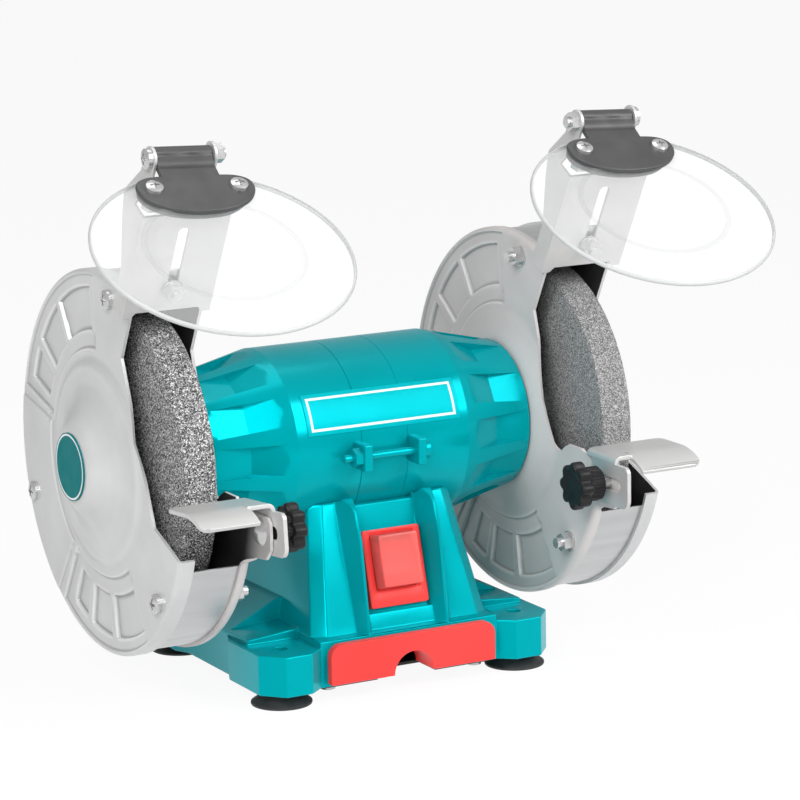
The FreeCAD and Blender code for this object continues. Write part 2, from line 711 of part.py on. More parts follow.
def shield_parts(skew):
    plates = []
    for z0 in (top_low, under_low):
        plates.append(slab(wing, z0, z0 + wing_t))
    neck = box(-roll_len / 2, roll_len / 2, -wing_back - 0.5, 0, top_low, hinge_h)
    back_edge = shield_mid - shield_b
    root = box(-roll_len / 2, roll_len / 2, -back_edge + 1.0, 0, under_low, hinge_h)
    chin = box(-roll_len / 2, roll_len / 2, -wing_back - 0.5, -back_edge + 1.5, under_low, shield_low)
    plates[0] = plates[0].fuse(neck)
    plates[1] = plates[1].fuse(chin)
    oval = Part.Ellipse(V(0, -shield_mid, shield_low), shield_a, shield_b).toShape()
    pane = Part.Face(Part.Wire(oval)).extrude(V(0, 0, shield_t))
    fixings = []
    caps = []
    for x in (-wing_screw_x, wing_screw_x):
        hole = post(wing_screw_d / 2, x, -wing_screw_s, under_low - 5, hinge_h + 5)
        plates = [p.cut(hole) for p in plates]
        pane = pane.cut(hole)
        screw = pan_screw(wing_screw_d, 4.0, 2.6, hinge_h - under_low + 4.0)
        fixings.append(aimed(screw, Z_AXIS, V(x, -wing_screw_s, hinge_h)))
        nut = hex_nut(7.0, 3.2, wing_screw_d / 2)
        caps.append(aimed(nut, V(0, 0, -1), V(x, -wing_screw_s, under_low)))
    for s in [pane] + plates + fixings + caps:
        s.rotate(ORIGIN, Z_AXIS, -skew)
    clamp = plates[0].fuse(plates[1]).fuse(root)
    clamp = clamp.fuse(rod(roll_r, -roll_len / 2, roll_len / 2, 0, 0))
    clamp = clamp.cut(pane)
    clamp = clamp.cut(box(-far, -ear_in + move_gap, -ear_swing, far, -far, far))
    clamp = clamp.cut(box(ear_in - move_gap, far, -ear_swing, far, -far, far))
    clamp = clamp.cut(rod(pivot_d / 2 + run_fit, -roll_len, roll_len, 0, 0)).removeSplitter()
    groups = [[clamp], [pane], fixings + caps]
    return [[placed(s, V(wheel_mid, pivot_y, pivot_z), shield_tilt) for s in g] for g in groups]


for side, skew in (("right", shield_skew), ("left", -shield_skew)):
    groups = shield_parts(skew)
    for name, group in zip(("shield_clamp", "eye_shield", "shield_screws"), groups):
        if side == "left":
            group = [mirrored(s) for s in group]
        save(side + "_" + name, group)

# Tool rest: one bent sheet, flange beside the guard arm and table in front of the wheel.
# The left one is tipped up a little on its bolt.
flange_in = plate_out - move_gap
flange_out = flange_in - rest_sheet
table_z = axis_h + rest_top
bend = rest_sheet + rest_bend_r
bend_z = table_z - bend
rest_low = bolt_z - 10.5
rest_rear = rest_back + 4.5
roll_end = math.asin((rest_front - rest_bend) / rest_roll)
slot_half = rest_bolt_d / 2 + slot_fit


def bent(x, z):
    return V(x, -rest_notch, z)


def rolled(depth, angle, x):
    r = rest_roll - depth
    return V(x, -rest_bend - r * math.sin(angle), table_z - rest_roll + r * math.cos(angle))


def tool_rest(lip_in):
    skin = [
        Part.Arc(bent(flange_out, bend_z), bent(flange_out + 0.293 * bend, table_z - 0.293 * bend),
                 bent(flange_out + bend, table_z)).toShape(),
        Part.makeLine(bent(flange_out + bend, table_z), bent(lip_in + 1, table_z)),
        Part.makeLine(bent(lip_in + 1, table_z), bent(lip_in + 1, table_z - rest_sheet)),
        Part.makeLine(bent(lip_in + 1, table_z - rest_sheet), bent(flange_out + bend, table_z - rest_sheet)),
        Part.Arc(bent(flange_out + bend, table_z - rest_sheet),
                 bent(flange_in + 0.293 * rest_bend_r, table_z - rest_sheet - 0.293 * rest_bend_r),
                 bent(flange_in, bend_z)).toShape(),
        Part.makeLine(bent(flange_in, bend_z), bent(flange_out, bend_z))]
    rest = Part.Face(Part.Wire(skin)).extrude(V(0, rest_notch - rest_back, 0))
    top = [rolled(0, a * roll_end, lip_in) for a in (0, 0.5, 1)]
    under = [rolled(rest_sheet, a * roll_end, lip_in) for a in (1, 0.5, 0)]
    rear_top = V(lip_in, -rest_back, table_z)
    rear_under = V(lip_in, -rest_back, table_z - rest_sheet)
    side_view = [
        Part.makeLine(rear_top, top[0]), Part.Arc(*top).toShape(), Part.makeLine(top[2], under[0]),
        Part.Arc(*under).toShape(), Part.makeLine(under[2], rear_under), Part.makeLine(rear_under, rear_top)]
    table = Part.Face(Part.Wire(side_view)).extrude(V(rest_out - lip_in, 0, 0))
    corners = [e for e in table.Edges if e.BoundBox.XMin > rest_out - 0.01 and e.Length < 1.5 * rest_sheet]
    table = table.makeFillet(rest_corner, corners)
    flange = prism(softened([
        (-rest_rear, bend_z, 0), (-rest_rear, rest_low, 5), (-rest_front, rest_low, 5),
        (-rest_front, bend_z, 3)]), flange_out, flange_in)
    rest = joined([rest, table, flange])
    ends = [rest_bolt_y + y for y in rest_slot]
    slot = box(flange_out - 1, flange_in + 1, ends[0], ends[1], bolt_z - slot_half, bolt_z + slot_half)
    for y in ends:
        slot = slot.fuse(rod(slot_half, flange_out - 1, flange_in + 1, y, bolt_z))
    return rest.cut(slot)


save("right_tool_rest", tool_rest(rest_lip_in))
left_rest = mirrored(tool_rest(rest_lip_in_left))
left_rest.rotate(V(0, rest_bolt_y, bolt_z), X_AXIS, -rest_tilt_left)
save("left_tool_rest", left_rest)

# Clamp bolt with a round head on the wheel side and a lobed knob on the motor side.
# The right knob is backed off a little.
knob_x = flange_out - move_gap
bolt_head = Part.makeCylinder(6.3, 3.2).common(Part.makeSphere(8.0, V(0, 0, -4.8)))
bolt_end = knob_x - knob_len + 5.0
bolt_shank = rod(rest_bolt_d / 2, bolt_end, plate_in, rest_bolt_y, bolt_z)
bolt = aimed(bolt_head, X_AXIS, V(plate_in, rest_bolt_y, bolt_z)).fuse(bolt_shank).removeSplitter()
save("rest_bolts", both_sides([bolt]))


def lobed(r, depth, lobes, x0, x1):
    pts = []
    for i in range(6 * lobes):
        a = 2 * math.pi * i / (6 * lobes)
        q = r - depth / 2 + depth / 2 * math.cos(lobes * a)
        pts.append((rest_bolt_y + q * math.cos(a), bolt_z + q * math.sin(a)))
    return prism(pts, x0, x1)


def lobed_knob(seat):
    end = seat - knob_len
    mid = end + knob_disc
    knob = joined([
        lobed(knob_r - 0.9, 1.9, knob_lobes, end, end + 0.9),
        lobed(knob_r, 2.2, knob_lobes, end + 0.9, mid - 0.9),
        lobed(knob_r - 0.9, 1.9, knob_lobes, mid - 0.9, mid),
        rod(knob_collar_r, mid, seat, rest_bolt_y, bolt_z)])
    return knob.cut(rod(rest_bolt_d / 2 + run_fit, bolt_end - 0.5, seat + 1, rest_bolt_y, bolt_z))


save("right_knob", lobed_knob(knob_x - knob_loose))
save("left_knob", mirrored(lobed_knob(knob_x)))

# Base: four lugs round a hollow box, with a pedestal whose saddle holds the motor.
quadrant = [
    (front_x, -front_y), (front_x + 7.3, -base_y), (base_x - 9.1, -base_y), (base_x, 10.5 - base_y),
    (base_x, -30.0), (waist_x, -22.0)]
ring_pts = quadrant + [(x, -y) for x, y in reversed(quadrant)]
ring_pts += [(-x, -y) for x, y in quadrant] + [(-x, y) for x, y in reversed(quadrant)]
base = slab(ring_pts, base_bottom, lug_top)
base = base.fuse(box(-front_x, front_x, -front_y, front_y, lug_top, base_top))


def octagon(front, half_y, corner, z):
    # front edge half as long as given, its corners cut back by corner across and 3/4 of that in depth
    half_x = front + corner
    back = half_y - 0.75 * corner
    points = [(-front, -half_y), (front, -half_y), (half_x, -back), (half_x, back), (front, half_y),
              (-front, half_y), (-half_x, back), (-half_x, -back), (-front, -half_y)]
    return Part.makePolygon([V(x, y, z) for x, y in points])


def frustum(inset):
    low = octagon(pedestal_low[0] - inset, pedestal_low[1] - inset, pedestal_cut[0], base_top)
    high = octagon(pedestal_high[0] - inset, pedestal_high[1] - inset, pedestal_cut[1], pedestal_z)
    return Part.makeLoft([low, high], True, True)


base = base.fuse(frustum(0))
for side in (-1, 1):
    flank = polygon([
        V(side * 30, -22, lug_top - 1), V(side * waist_x, -22, lug_top - 1),
        V(side * waist_x, -22, lug_top + 1.5), V(side * (front_x + 2), -22, base_top + 11),
        V(side * 30, -22, base_top + 16)])
    base = base.fuse(flank.extrude(V(0, 44, 0)))
    step = polygon([
        V(side * 30, -step_y, lug_top - 1), V(side * waist_x, -step_y, lug_top - 1),
        V(side * waist_x, -step_y, lug_top + 2.2), V(side * front_x, -step_y, lug_top + 4.6),
        V(side * 30, -step_y, lug_top + 4.6)])
    base = base.fuse(step.extrude(V(0, 2 * step_y, 0)))
base = base.removeSplitter()
inner_x = front_x - base_wall
inner_y = front_y - base_wall
hollow = box(-inner_x, inner_x, -inner_y, inner_y, base_bottom - 1, lug_top - 1)
hollow = hollow.fuse(box(base_wall - pedestal_low[0], pedestal_low[0] - base_wall, base_wall - pedestal_low[1],
                         pedestal_low[1] - base_wall, lug_top - 2, base_top))
hollow = hollow.fuse(frustum(base_wall)).cut(rod(motor_r + saddle_t, -base_x, base_x))
side_x = waist_x - base_wall
for side in (-1, 1):
    pocket = box(min(side * (inner_x + base_wall), side * side_x), max(side * (inner_x + base_wall), side * side_x),
                 -26, 26, base_bottom - 1, lug_top - base_wall)
    hollow = hollow.fuse(pocket)
base = base.cut(hollow)

# Switch recess in the inclined front, with a tapered fin on either side.
switch_pos = V(0, bezel_y, bezel_z)
floor_y = bezel_t
recess = box(-bezel_w / 2 - 1.5, bezel_w / 2 + 1.5, floor_y - 30, floor_y, -bezel_h / 2 - 2, bezel_h)
base = base.cut(placed(recess, switch_pos, -bezel_tilt))
body_w = bezel_w - 4.0
body_h = bezel_h - 4.0
opening = box(-body_w / 2, body_w / 2, floor_y - 1, floor_y + 14, -body_h / 2, body_h / 2)
base = base.cut(placed(opening, switch_pos, -bezel_tilt))
fin_slope = (pedestal_low[1] - pedestal_high[1]) / (pedestal_z - base_top)
fin_mid = (fin_in + fin_out) / 2
fin_levels = ((pedestal_z + 3.2, fin_deep - 1.0), (pedestal_z - 15.8, fin_deep), (base_top - 1.0, fin_low))
peak_y, peak_z = fin_peak
roof = polygon([
    V(-base_x, 0, 0), V(-base_x, 0, ledge_z - 23), V(-base_x, peak_y, peak_z), V(-base_x, peak_y - 5.5, peak_z - 2.2),
    V(-base_x, peak_y - 7.7, peak_z - 4.4), V(-base_x, -base_y, ledge_z - 25), V(-base_x, -base_y, 0)])
roof = roof.extrude(V(2 * base_x, 0, 0))
base = base.cut(box(-fin_in, fin_in, -base_y, 0, ledge_z, axis_h))
for side in (-1, 1):
    rings = []
    for z, deep in fin_levels:
        y = -pedestal_high[1] - (pedestal_z - z) * fin_slope
        rings.append(Part.makePolygon([
            V(side * fin_in, y + 1.5, z), V(side * (fin_mid - fin_edge / 2), y - deep, z),
            V(side * (fin_mid + fin_edge / 2), y - deep, z), V(side * fin_out, y + 1.5, z),
            V(side * fin_in, y + 1.5, z)]))
    base = base.fuse(Part.makeLoft(rings, True, True).common(roof))
base = base.cut(rod(motor_r, -base_x, base_x)).removeSplitter()

# Bosses: cover screws at the cavity corners, motor screw pads under the saddle.
pad_z = axis_h - motor_r - saddle_t - 1.5
cover_screw_d = 4.0
cover_points = [(sx * (inner_x - 4.5), sy * (inner_y - 5.5)) for sx in (-1, 1) for sy in (-1, 1)]
for x, y in cover_points:
    base = base.fuse(post(5.0, x, y, base_bottom, lug_top))
for side in (-1, 1):
    base = base.fuse(post(7.0, side * foot_screw_x, 0, pad_z, pad_z + 4))
base = base.removeSplitter()
for x, y in cover_points:
    base = base.cut(post(cover_screw_d / 2, x, y, base_bottom - 1, base_bottom + 12))
for side in (-1, 1):
    base = base.cut(post(foot_screw_d / 2, side * foot_screw_x, 0, pad_z - 1, axis_h - motor_r + 1))

# Bench bolt holes through the lugs, with a seat below for the neck of each foot.
foot_neck_r = 5.5
foot_neck_h = 3.0
foot_points = [(sx * foot_x, sy * foot_y) for sx in (-1, 1) for sy in (-1, 1)]
for x, y in foot_points:
    base = base.cut(post(bench_hole_d / 2, x, y, base_bottom - 1, lug_top + 5))
    base = base.cut(post(foot_neck_r, x, y, base_bottom - 1, base_bottom + foot_neck_h))

# Way in for the arch sleeve at the front and for the cable gland at the back.
sleeve_t = 2.0
sleeve_r = arch_r + sleeve_t
panel_low = base_bottom + 1.7
sleeve_y = 14.0
arch_way = Part.makeCylinder(sleeve_r, sleeve_y + 1, V(0, -front_y - 1, panel_low), Y_AXIS)
arch_way = arch_way.fuse(box(-sleeve_r, sleeve_r, -front_y - 1, sleeve_y - front_y, 0, panel_low))
base = base.cut(arch_way)
gland_r = 5.5
gland_af = 14.0
gland_z = base_bottom + 9.5
base = base.cut(Part.makeCylinder(gland_r, 20, V(0, front_y - 10, gland_z), Y_AXIS))
save("base", base)

# Red front panel with rounded upper corners and an arched sleeve.
panel_high = panel_low + panel_h
panel_x = panel_w / 2
face_pts = softened([
    (-panel_x, panel_low, 0), (panel_x, panel_low, 0), (panel_x, panel_high, 6), (-panel_x, panel_high, 6)])
panel = polygon([V(x, -front_y - panel_t, z) for x, z in face_pts]).extrude(V(0, panel_t, 0))
sleeve = Part.makeCylinder(sleeve_r, sleeve_y + panel_t, V(0, -front_y - panel_t, panel_low), Y_AXIS)
sleeve = sleeve.common(box(-base_x, base_x, -base_y, base_y, panel_low, base_top))
panel = panel.fuse(sleeve).removeSplitter()
panel = panel.cut(Part.makeCylinder(arch_r, sleeve_y + 20, V(0, -front_y - 15, panel_low), Y_AXIS))
save("front_panel", panel)

# Rubber feet with a neck in the lug and a dished sole.
hole_r = bench_hole_d / 2
foot_profile = [
    (hole_r, 0), (hole_r + 2.5, 0), (hole_r + 3, 1.0), (foot_r - 3.5, 1.0), (foot_r - 3, 0),
    (foot_r, 0), (foot_r, 1.0), (foot_r - 4.5, foot_h - 2.4), (foot_r - 5, foot_h), (foot_neck_r, foot_h),
    (foot_neck_r, foot_h + foot_neck_h), (hole_r, foot_h + foot_neck_h)]
foot = polygon([V(r, 0, z) for r, z in foot_profile]).revolve(ORIGIN, Z_AXIS, 360)
save("feet", [placed(foot, V(x, y, 0)) for x, y in foot_points])

# Bottom cover and its screws.
cover_t = 1.5
lid = box(-inner_x - 1.5, inner_x + 1.5, -inner_y + 16, inner_y - 0.5, base_bottom - cover_t, base_bottom)
lid = lid.fuse(box(-inner_x - 1.5, -sleeve_r - 3, -inner_y + 0.5, -inner_y + 17, base_bottom - cover_t, base_bottom))
lid = lid.fuse(box(sleeve_r + 3, inner_x + 1.5, -inner_y + 0.5, -inner_y + 17, base_bottom - cover_t, base_bottom))
for x, y in foot_points:
    lid = lid.cut(post(foot_r - 3.5, x, y, 0, base_bottom + 1))
for x, y in cover_points:
    lid = lid.cut(post(cover_screw_d / 2, x, y, 0, base_bottom + 1))
save("bottom_cover", lid.removeSplitter())
screws = []
for x, y in cover_points:
    screws.append(aimed(pan_screw(cover_screw_d, 3.6, 2.4, 11.0), V(0, 0, -1), V(x, y, base_bottom - cover_t)))
save("bottom_cover_screws", screws)
screws = []
for side in (-1, 1):
    screw = pan_screw(foot_screw_d, 5.4, 3.8, axis_h - motor_r - pad_z + 5.5)
    screws.append(aimed(screw, V(0, 0, -1), V(side * foot_screw_x, 0, pad_z)))
save("motor_foot_screws", screws)

# Rocker switch: bezel with a body through the front wall, rocker on stub pins, soft cover.
window_w = rocker_w + 2 * move_gap
window_h = 2 * (rocker_swing + move_gap)
body_deep = 17.0
switch = box(-bezel_w / 2, bezel_w / 2, 0, bezel_t, -bezel_h / 2, bezel_h / 2)
switch = switch.fuse(box(-body_w / 2, body_w / 2, bezel_t, body_deep, -body_h / 2, body_h / 2))
switch = switch.removeSplitter()
switch = switch.cut(box(-window_w / 2, window_w / 2, -1, body_deep - 2, -window_h / 2, window_h / 2))
rocker_y = 8.0
stub_r = 1.6
stub_x = window_w / 2 + 1.6
switch = switch.cut(rod(stub_r + run_fit, -stub_x - 0.3, stub_x + 0.3, rocker_y, 0))
for x in (-7.0, 7.0):
    switch = switch.fuse(box(x - 3, x + 3, body_deep, body_deep + 8, -0.4, 0.4))
save("switch_frame", placed(switch, switch_pos, -bezel_tilt))
rocker = rod(rocker_swing, -rocker_w / 2, rocker_w / 2, rocker_y, 0)
tip = 1.0
rocker = rocker.common(prism([
    (-tip, -rocker_swing), (-tip + 1.6, 0), (-tip, rocker_swing), (rocker_y + 3, rocker_swing),
    (rocker_y + 3, -rocker_swing)], -rocker_w, rocker_w))
rocker = rocker.fuse(rod(stub_r, -stub_x, stub_x, rocker_y, 0)).removeSplitter()
rocker.rotate(V(0, rocker_y, 0), X_AXIS, -rocker_off)
save("switch_rocker", placed(rocker, switch_pos, -bezel_tilt))
boot_x = window_w / 2 + 1.2
boot_z = window_h / 2 + 1.2
boot_h = 8.0
boot = box(-boot_x, boot_x, -boot_h, 0, -boot_z, boot_z)
boot = boot.makeFillet(2.6, [e for e in boot.Edges if e.BoundBox.YMin < -0.1])
boot = boot.cut(box(1.2 - boot_x, boot_x - 1.2, 1.0 - boot_h, 1, 1.2 - boot_z, boot_z - 1.2))
save("switch_boot", placed(boot, switch_pos, -bezel_tilt))

# Plain label wrapped on the front of the motor.
label_t = 0.4
label = tube(motor_r + label_t, motor_r, -40, 41)
label = label.common(prism([(0, axis_h)] + around(2 * motor_r, 12.5, 38, 6), -45, 45))
save("front_label", label)

# Cable gland in the back wall, held by a nut inside.
gland = Part.makeCylinder(gland_r, 16, V(0, inner_y - 7, gland_z), Y_AXIS)
gland = gland.fuse(aimed(hex_prism(gland_af, 5), Y_AXIS, V(0, front_y, gland_z)))
gland = gland.fuse(Part.makeCylinder(gland_r + 0.5, 9, V(0, front_y + 5, gland_z), Y_AXIS)).removeSplitter()
gland = gland.cut(Part.makeCylinder(gland_r - 2.0, 60, V(0, inner_y - 20, gland_z), Y_AXIS))
gland_nut = aimed(hex_nut(gland_af, 4.0, gland_r), V(0, -1, 0), V(0, inner_y, gland_z))
save("cable_gland", [gland, gland_nut])

# Run capacitor strapped to the bottom cover and a terminal block beside it.
cap_r = 13.0
cap_y = 22.0
cap_z = base_bottom + cap_r
cap = rod(cap_r, -22, 22, cap_y, cap_z)
cap = cap.fuse(rod(cap_r - 3, 22, 24, cap_y, cap_z))
for y in (-4, 4):
    cap = cap.fuse(box(24, 31, cap_y + y - 0.4, cap_y + y + 0.4, cap_z - 3, cap_z + 3))
save("run_capacitor", cap.removeSplitter())
strap_t = 1.0
strap = tube(cap_r + strap_t, cap_r, -5, 5, cap_y, cap_z)
strap = strap.cut(box(-6, 6, cap_y - 20, cap_y + 20, base_bottom - 5, cap_z))
for side in (-1, 1):
    y0 = cap_y + side * cap_r
    y1 = cap_y + side * (cap_r + strap_t)
    y2 = cap_y + side * (cap_r + 8)
    strap = strap.fuse(box(-5, 5, min(y0, y1), max(y0, y1), base_bottom, cap_z))
    strap = strap.fuse(box(-5, 5, min(y0, y2), max(y0, y2), base_bottom, base_bottom + strap_t))
save("capacitor_strap", strap.removeSplitter())
block = box(-16, 16, -22, -10, base_bottom, base_bottom + 9)
for x in (-10, 0, 10):
    block = block.cut(post(2.4, x, -16, base_bottom + 4, base_bottom + 10))
save("terminal_block", block)
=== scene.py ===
import math

import bmesh
import bpy
import numpy as np
from mathutils import Matrix, Vector


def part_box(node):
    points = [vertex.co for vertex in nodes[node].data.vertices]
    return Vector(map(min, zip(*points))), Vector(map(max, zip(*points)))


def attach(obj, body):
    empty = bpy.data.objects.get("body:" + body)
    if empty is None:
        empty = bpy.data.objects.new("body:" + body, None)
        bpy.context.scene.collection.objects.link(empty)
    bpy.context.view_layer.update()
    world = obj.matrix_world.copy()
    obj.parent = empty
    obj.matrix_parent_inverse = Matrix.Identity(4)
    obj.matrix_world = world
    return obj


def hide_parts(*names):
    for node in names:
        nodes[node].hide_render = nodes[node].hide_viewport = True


# Bench grinder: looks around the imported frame. Piece sizes below are in millimetres.
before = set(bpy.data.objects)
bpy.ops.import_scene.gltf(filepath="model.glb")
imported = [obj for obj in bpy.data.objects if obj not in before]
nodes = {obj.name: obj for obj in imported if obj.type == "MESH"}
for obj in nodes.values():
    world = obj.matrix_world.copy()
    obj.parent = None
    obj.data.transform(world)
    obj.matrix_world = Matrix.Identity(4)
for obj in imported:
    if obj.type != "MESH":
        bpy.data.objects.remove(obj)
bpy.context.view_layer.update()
scene = bpy.context.scene
mm = 0.001
sides = {"left": -1, "right": 1}
print("frame:", len(nodes), "nodes")

def both(name):
    return tuple(side + "_" + name for side in sides)

def centreOf(node):
    low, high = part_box(node)
    return (low + high) / 2 / mm

def endsOf(node):
    # distances of a node's near and far end from the middle of the machine, along the shaft
    low, high = (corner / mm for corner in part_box(node))
    return sorted((abs(low.x), abs(high.x)))

shaftHeight = centreOf("shaft").z

# Camera to the left of the front and a little above the shaft
photoView = {
    "azimuth": -28.481, "elevation": 11.571, "roll": -1.053, "distance": 1688.2, "across": 28.586,
    "up": 15.155, "lens": 157.403, "sensor": 36, "farthest": 60}

def placeCamera(v):
    a, e, r = (math.radians(v[k]) for k in ("azimuth", "elevation", "roll"))
    back = Vector((math.sin(a) * math.cos(e), -math.cos(a) * math.cos(e), math.sin(e)))
    level = Vector((math.cos(a), math.sin(a), 0))
    upright = back.cross(level)
    right = level * math.cos(r) + upright * math.sin(r)
    up = upright * math.cos(r) - level * math.sin(r)
    spot = right * v["across"] + up * v["up"] + back * v["distance"] + Vector((0, 0, shaftHeight))
    data = bpy.data.cameras.new("photoCamera")
    data.lens = v["lens"]
    data.sensor_width = v["sensor"]
    data.clip_end = v["farthest"]
    eye = bpy.data.objects.new("photoCamera", data)
    eye.matrix_world = Matrix.Translation(spot * mm) @ Matrix((right, up, back)).transposed().to_4x4()
    scene.collection.objects.link(eye)
    scene.camera = eye

placeCamera(photoView)

# Studio, in metres: white floor and air, a softbox at the front right, weaker fills at the left and above,
# and a small lamp beside the camera that draws the rounded edges
studio = {
    "floorSize": 12.0, "floorTone": 0.9, "floorRough": 0.9, "floorLift": 0.93, "lampsMeet": 0.13,
    "airLevel": {"seen": 1.0, "mirrored": 0.55, "soft": 0.17},
    "lamps": {
        "keySoftbox": {"aim": (0.467, -0.706, 0.53), "away": 1.2, "size": 0.7, "watts": 11.0},
        "leftFill": {"aim": (-0.62, -0.5, 0.6), "away": 1.3, "size": 0.55, "watts": 9.5},
        "edgeGlint": {"aim": (-0.5, -0.8, 0.3), "away": 1.3, "size": 0.26, "watts": 3.6},
        "topFill": {"aim": (0.05, 0.1, 1.0), "away": 1.3, "size": 0.8, "watts": 3.5}}}

def colour(tone):
    # a grey is given as one number
    return (tone, tone, tone, 1) if isinstance(tone, float) else (*tone, 1)

def feed(tree, node, inputs):
    # an input takes a plain value or the output of another node
    for key, value in inputs.items():
        if isinstance(value, bpy.types.NodeSocket):
            tree.links.new(value, node.inputs[key])
        else:
            node.inputs[key].default_value = value

def put(tree, kind, inputs=None, **settings):
    node = tree.nodes.new(kind)
    for key, value in settings.items():
        setattr(node, key, value)
    feed(tree, node, inputs or {})
    return node

def reckon(tree, operation, first, second=0.0):
    return put(tree, "ShaderNodeMath", {0: first, 1: second}, operation=operation).outputs[0]

def mapped(tree, field, fromMin=0.0, fromMax=1.0, toMin=0.0, toMax=1.0):
    ends = {"From Min": fromMin, "From Max": fromMax, "To Min": toMin, "To Max": toMax}
    return put(tree, "ShaderNodeMapRange", {"Value": field, **ends}).outputs[0]

def seenBy(tree, path, *kinds):
    # 1 for rays of the given kinds
    seen = path.outputs["Is " + kinds[0] + " Ray"]
    for kind in kinds[1:]:
        seen = reckon(tree, "MAXIMUM", seen, path.outputs["Is " + kind + " Ray"])
    return seen

def buildAir(levels):
    # rays off mirror-like faces see a dimmer room than the camera does, and soft light is dimmer still
    world = bpy.data.worlds.new("studioAir")
    world.use_nodes = True
    scene.world = world
    tree = world.node_tree
    path = put(tree, "ShaderNodeLightPath")
    dim = mapped(tree, path.outputs["Is Glossy Ray"], toMin=levels["soft"], toMax=levels["mirrored"])
    level = mapped(tree, seenBy(tree, path, "Camera", "Transmission"), toMin=dim, toMax=levels["seen"])
    feed(tree, tree.nodes["Background"], {"Color": colour(1.0), "Strength": level})

def buildFloor(s):
    half = s["floorSize"] / 2
    mesh = bpy.data.meshes.new("studioFloor")
    corners = [(-half, -half, 0), (half, -half, 0), (half, half, 0), (-half, half, 0)]
    mesh.from_pydata(corners, [], [(0, 1, 2, 3)])
    floor = bpy.data.objects.new("studioFloor", mesh)
    scene.collection.objects.link(floor)
    paper = bpy.data.materials.new("whitePaper")
    paper.use_nodes = True
    tree = paper.node_tree
    matte = tree.nodes["Principled BSDF"]
    feed(tree, matte, {"Base Color": colour(s["floorTone"]), "Roughness": s["floorRough"]})
    glow = put(tree, "ShaderNodeEmission", {"Color": colour(1.0), "Strength": 1.0})
    seen = seenBy(tree, put(tree, "ShaderNodeLightPath"), "Camera", "Glossy", "Transmission")
    share = reckon(tree, "MULTIPLY", seen, s["floorLift"])
    blend = put(tree, "ShaderNodeMixShader", {0: share, 1: matte.outputs[0], 2: glow.outputs[0]})
    feed(tree, tree.nodes["Material Output"], {"Surface": blend.outputs[0]})
    mesh.materials.append(paper)

def hangLamps(s):
    middle = Vector((0, 0, s["lampsMeet"]))
    for name, lamp in s["lamps"].items():
        data = bpy.data.lights.new(name, "AREA")
        data.energy = lamp["watts"]
        data.size = lamp["size"]
        aim = Vector(lamp["aim"]).normalized()
        light = bpy.data.objects.new(name, data)
        turn = aim.to_track_quat("Z", "Y").to_matrix().to_4x4()
        light.matrix_world = Matrix.Translation(middle + aim * lamp["away"]) @ turn
        scene.collection.objects.link(light)

scene.view_settings.view_transform = "Standard"
buildAir(studio["airLevel"])
buildFloor(studio)
hangLamps(studio)
print("studio ready")

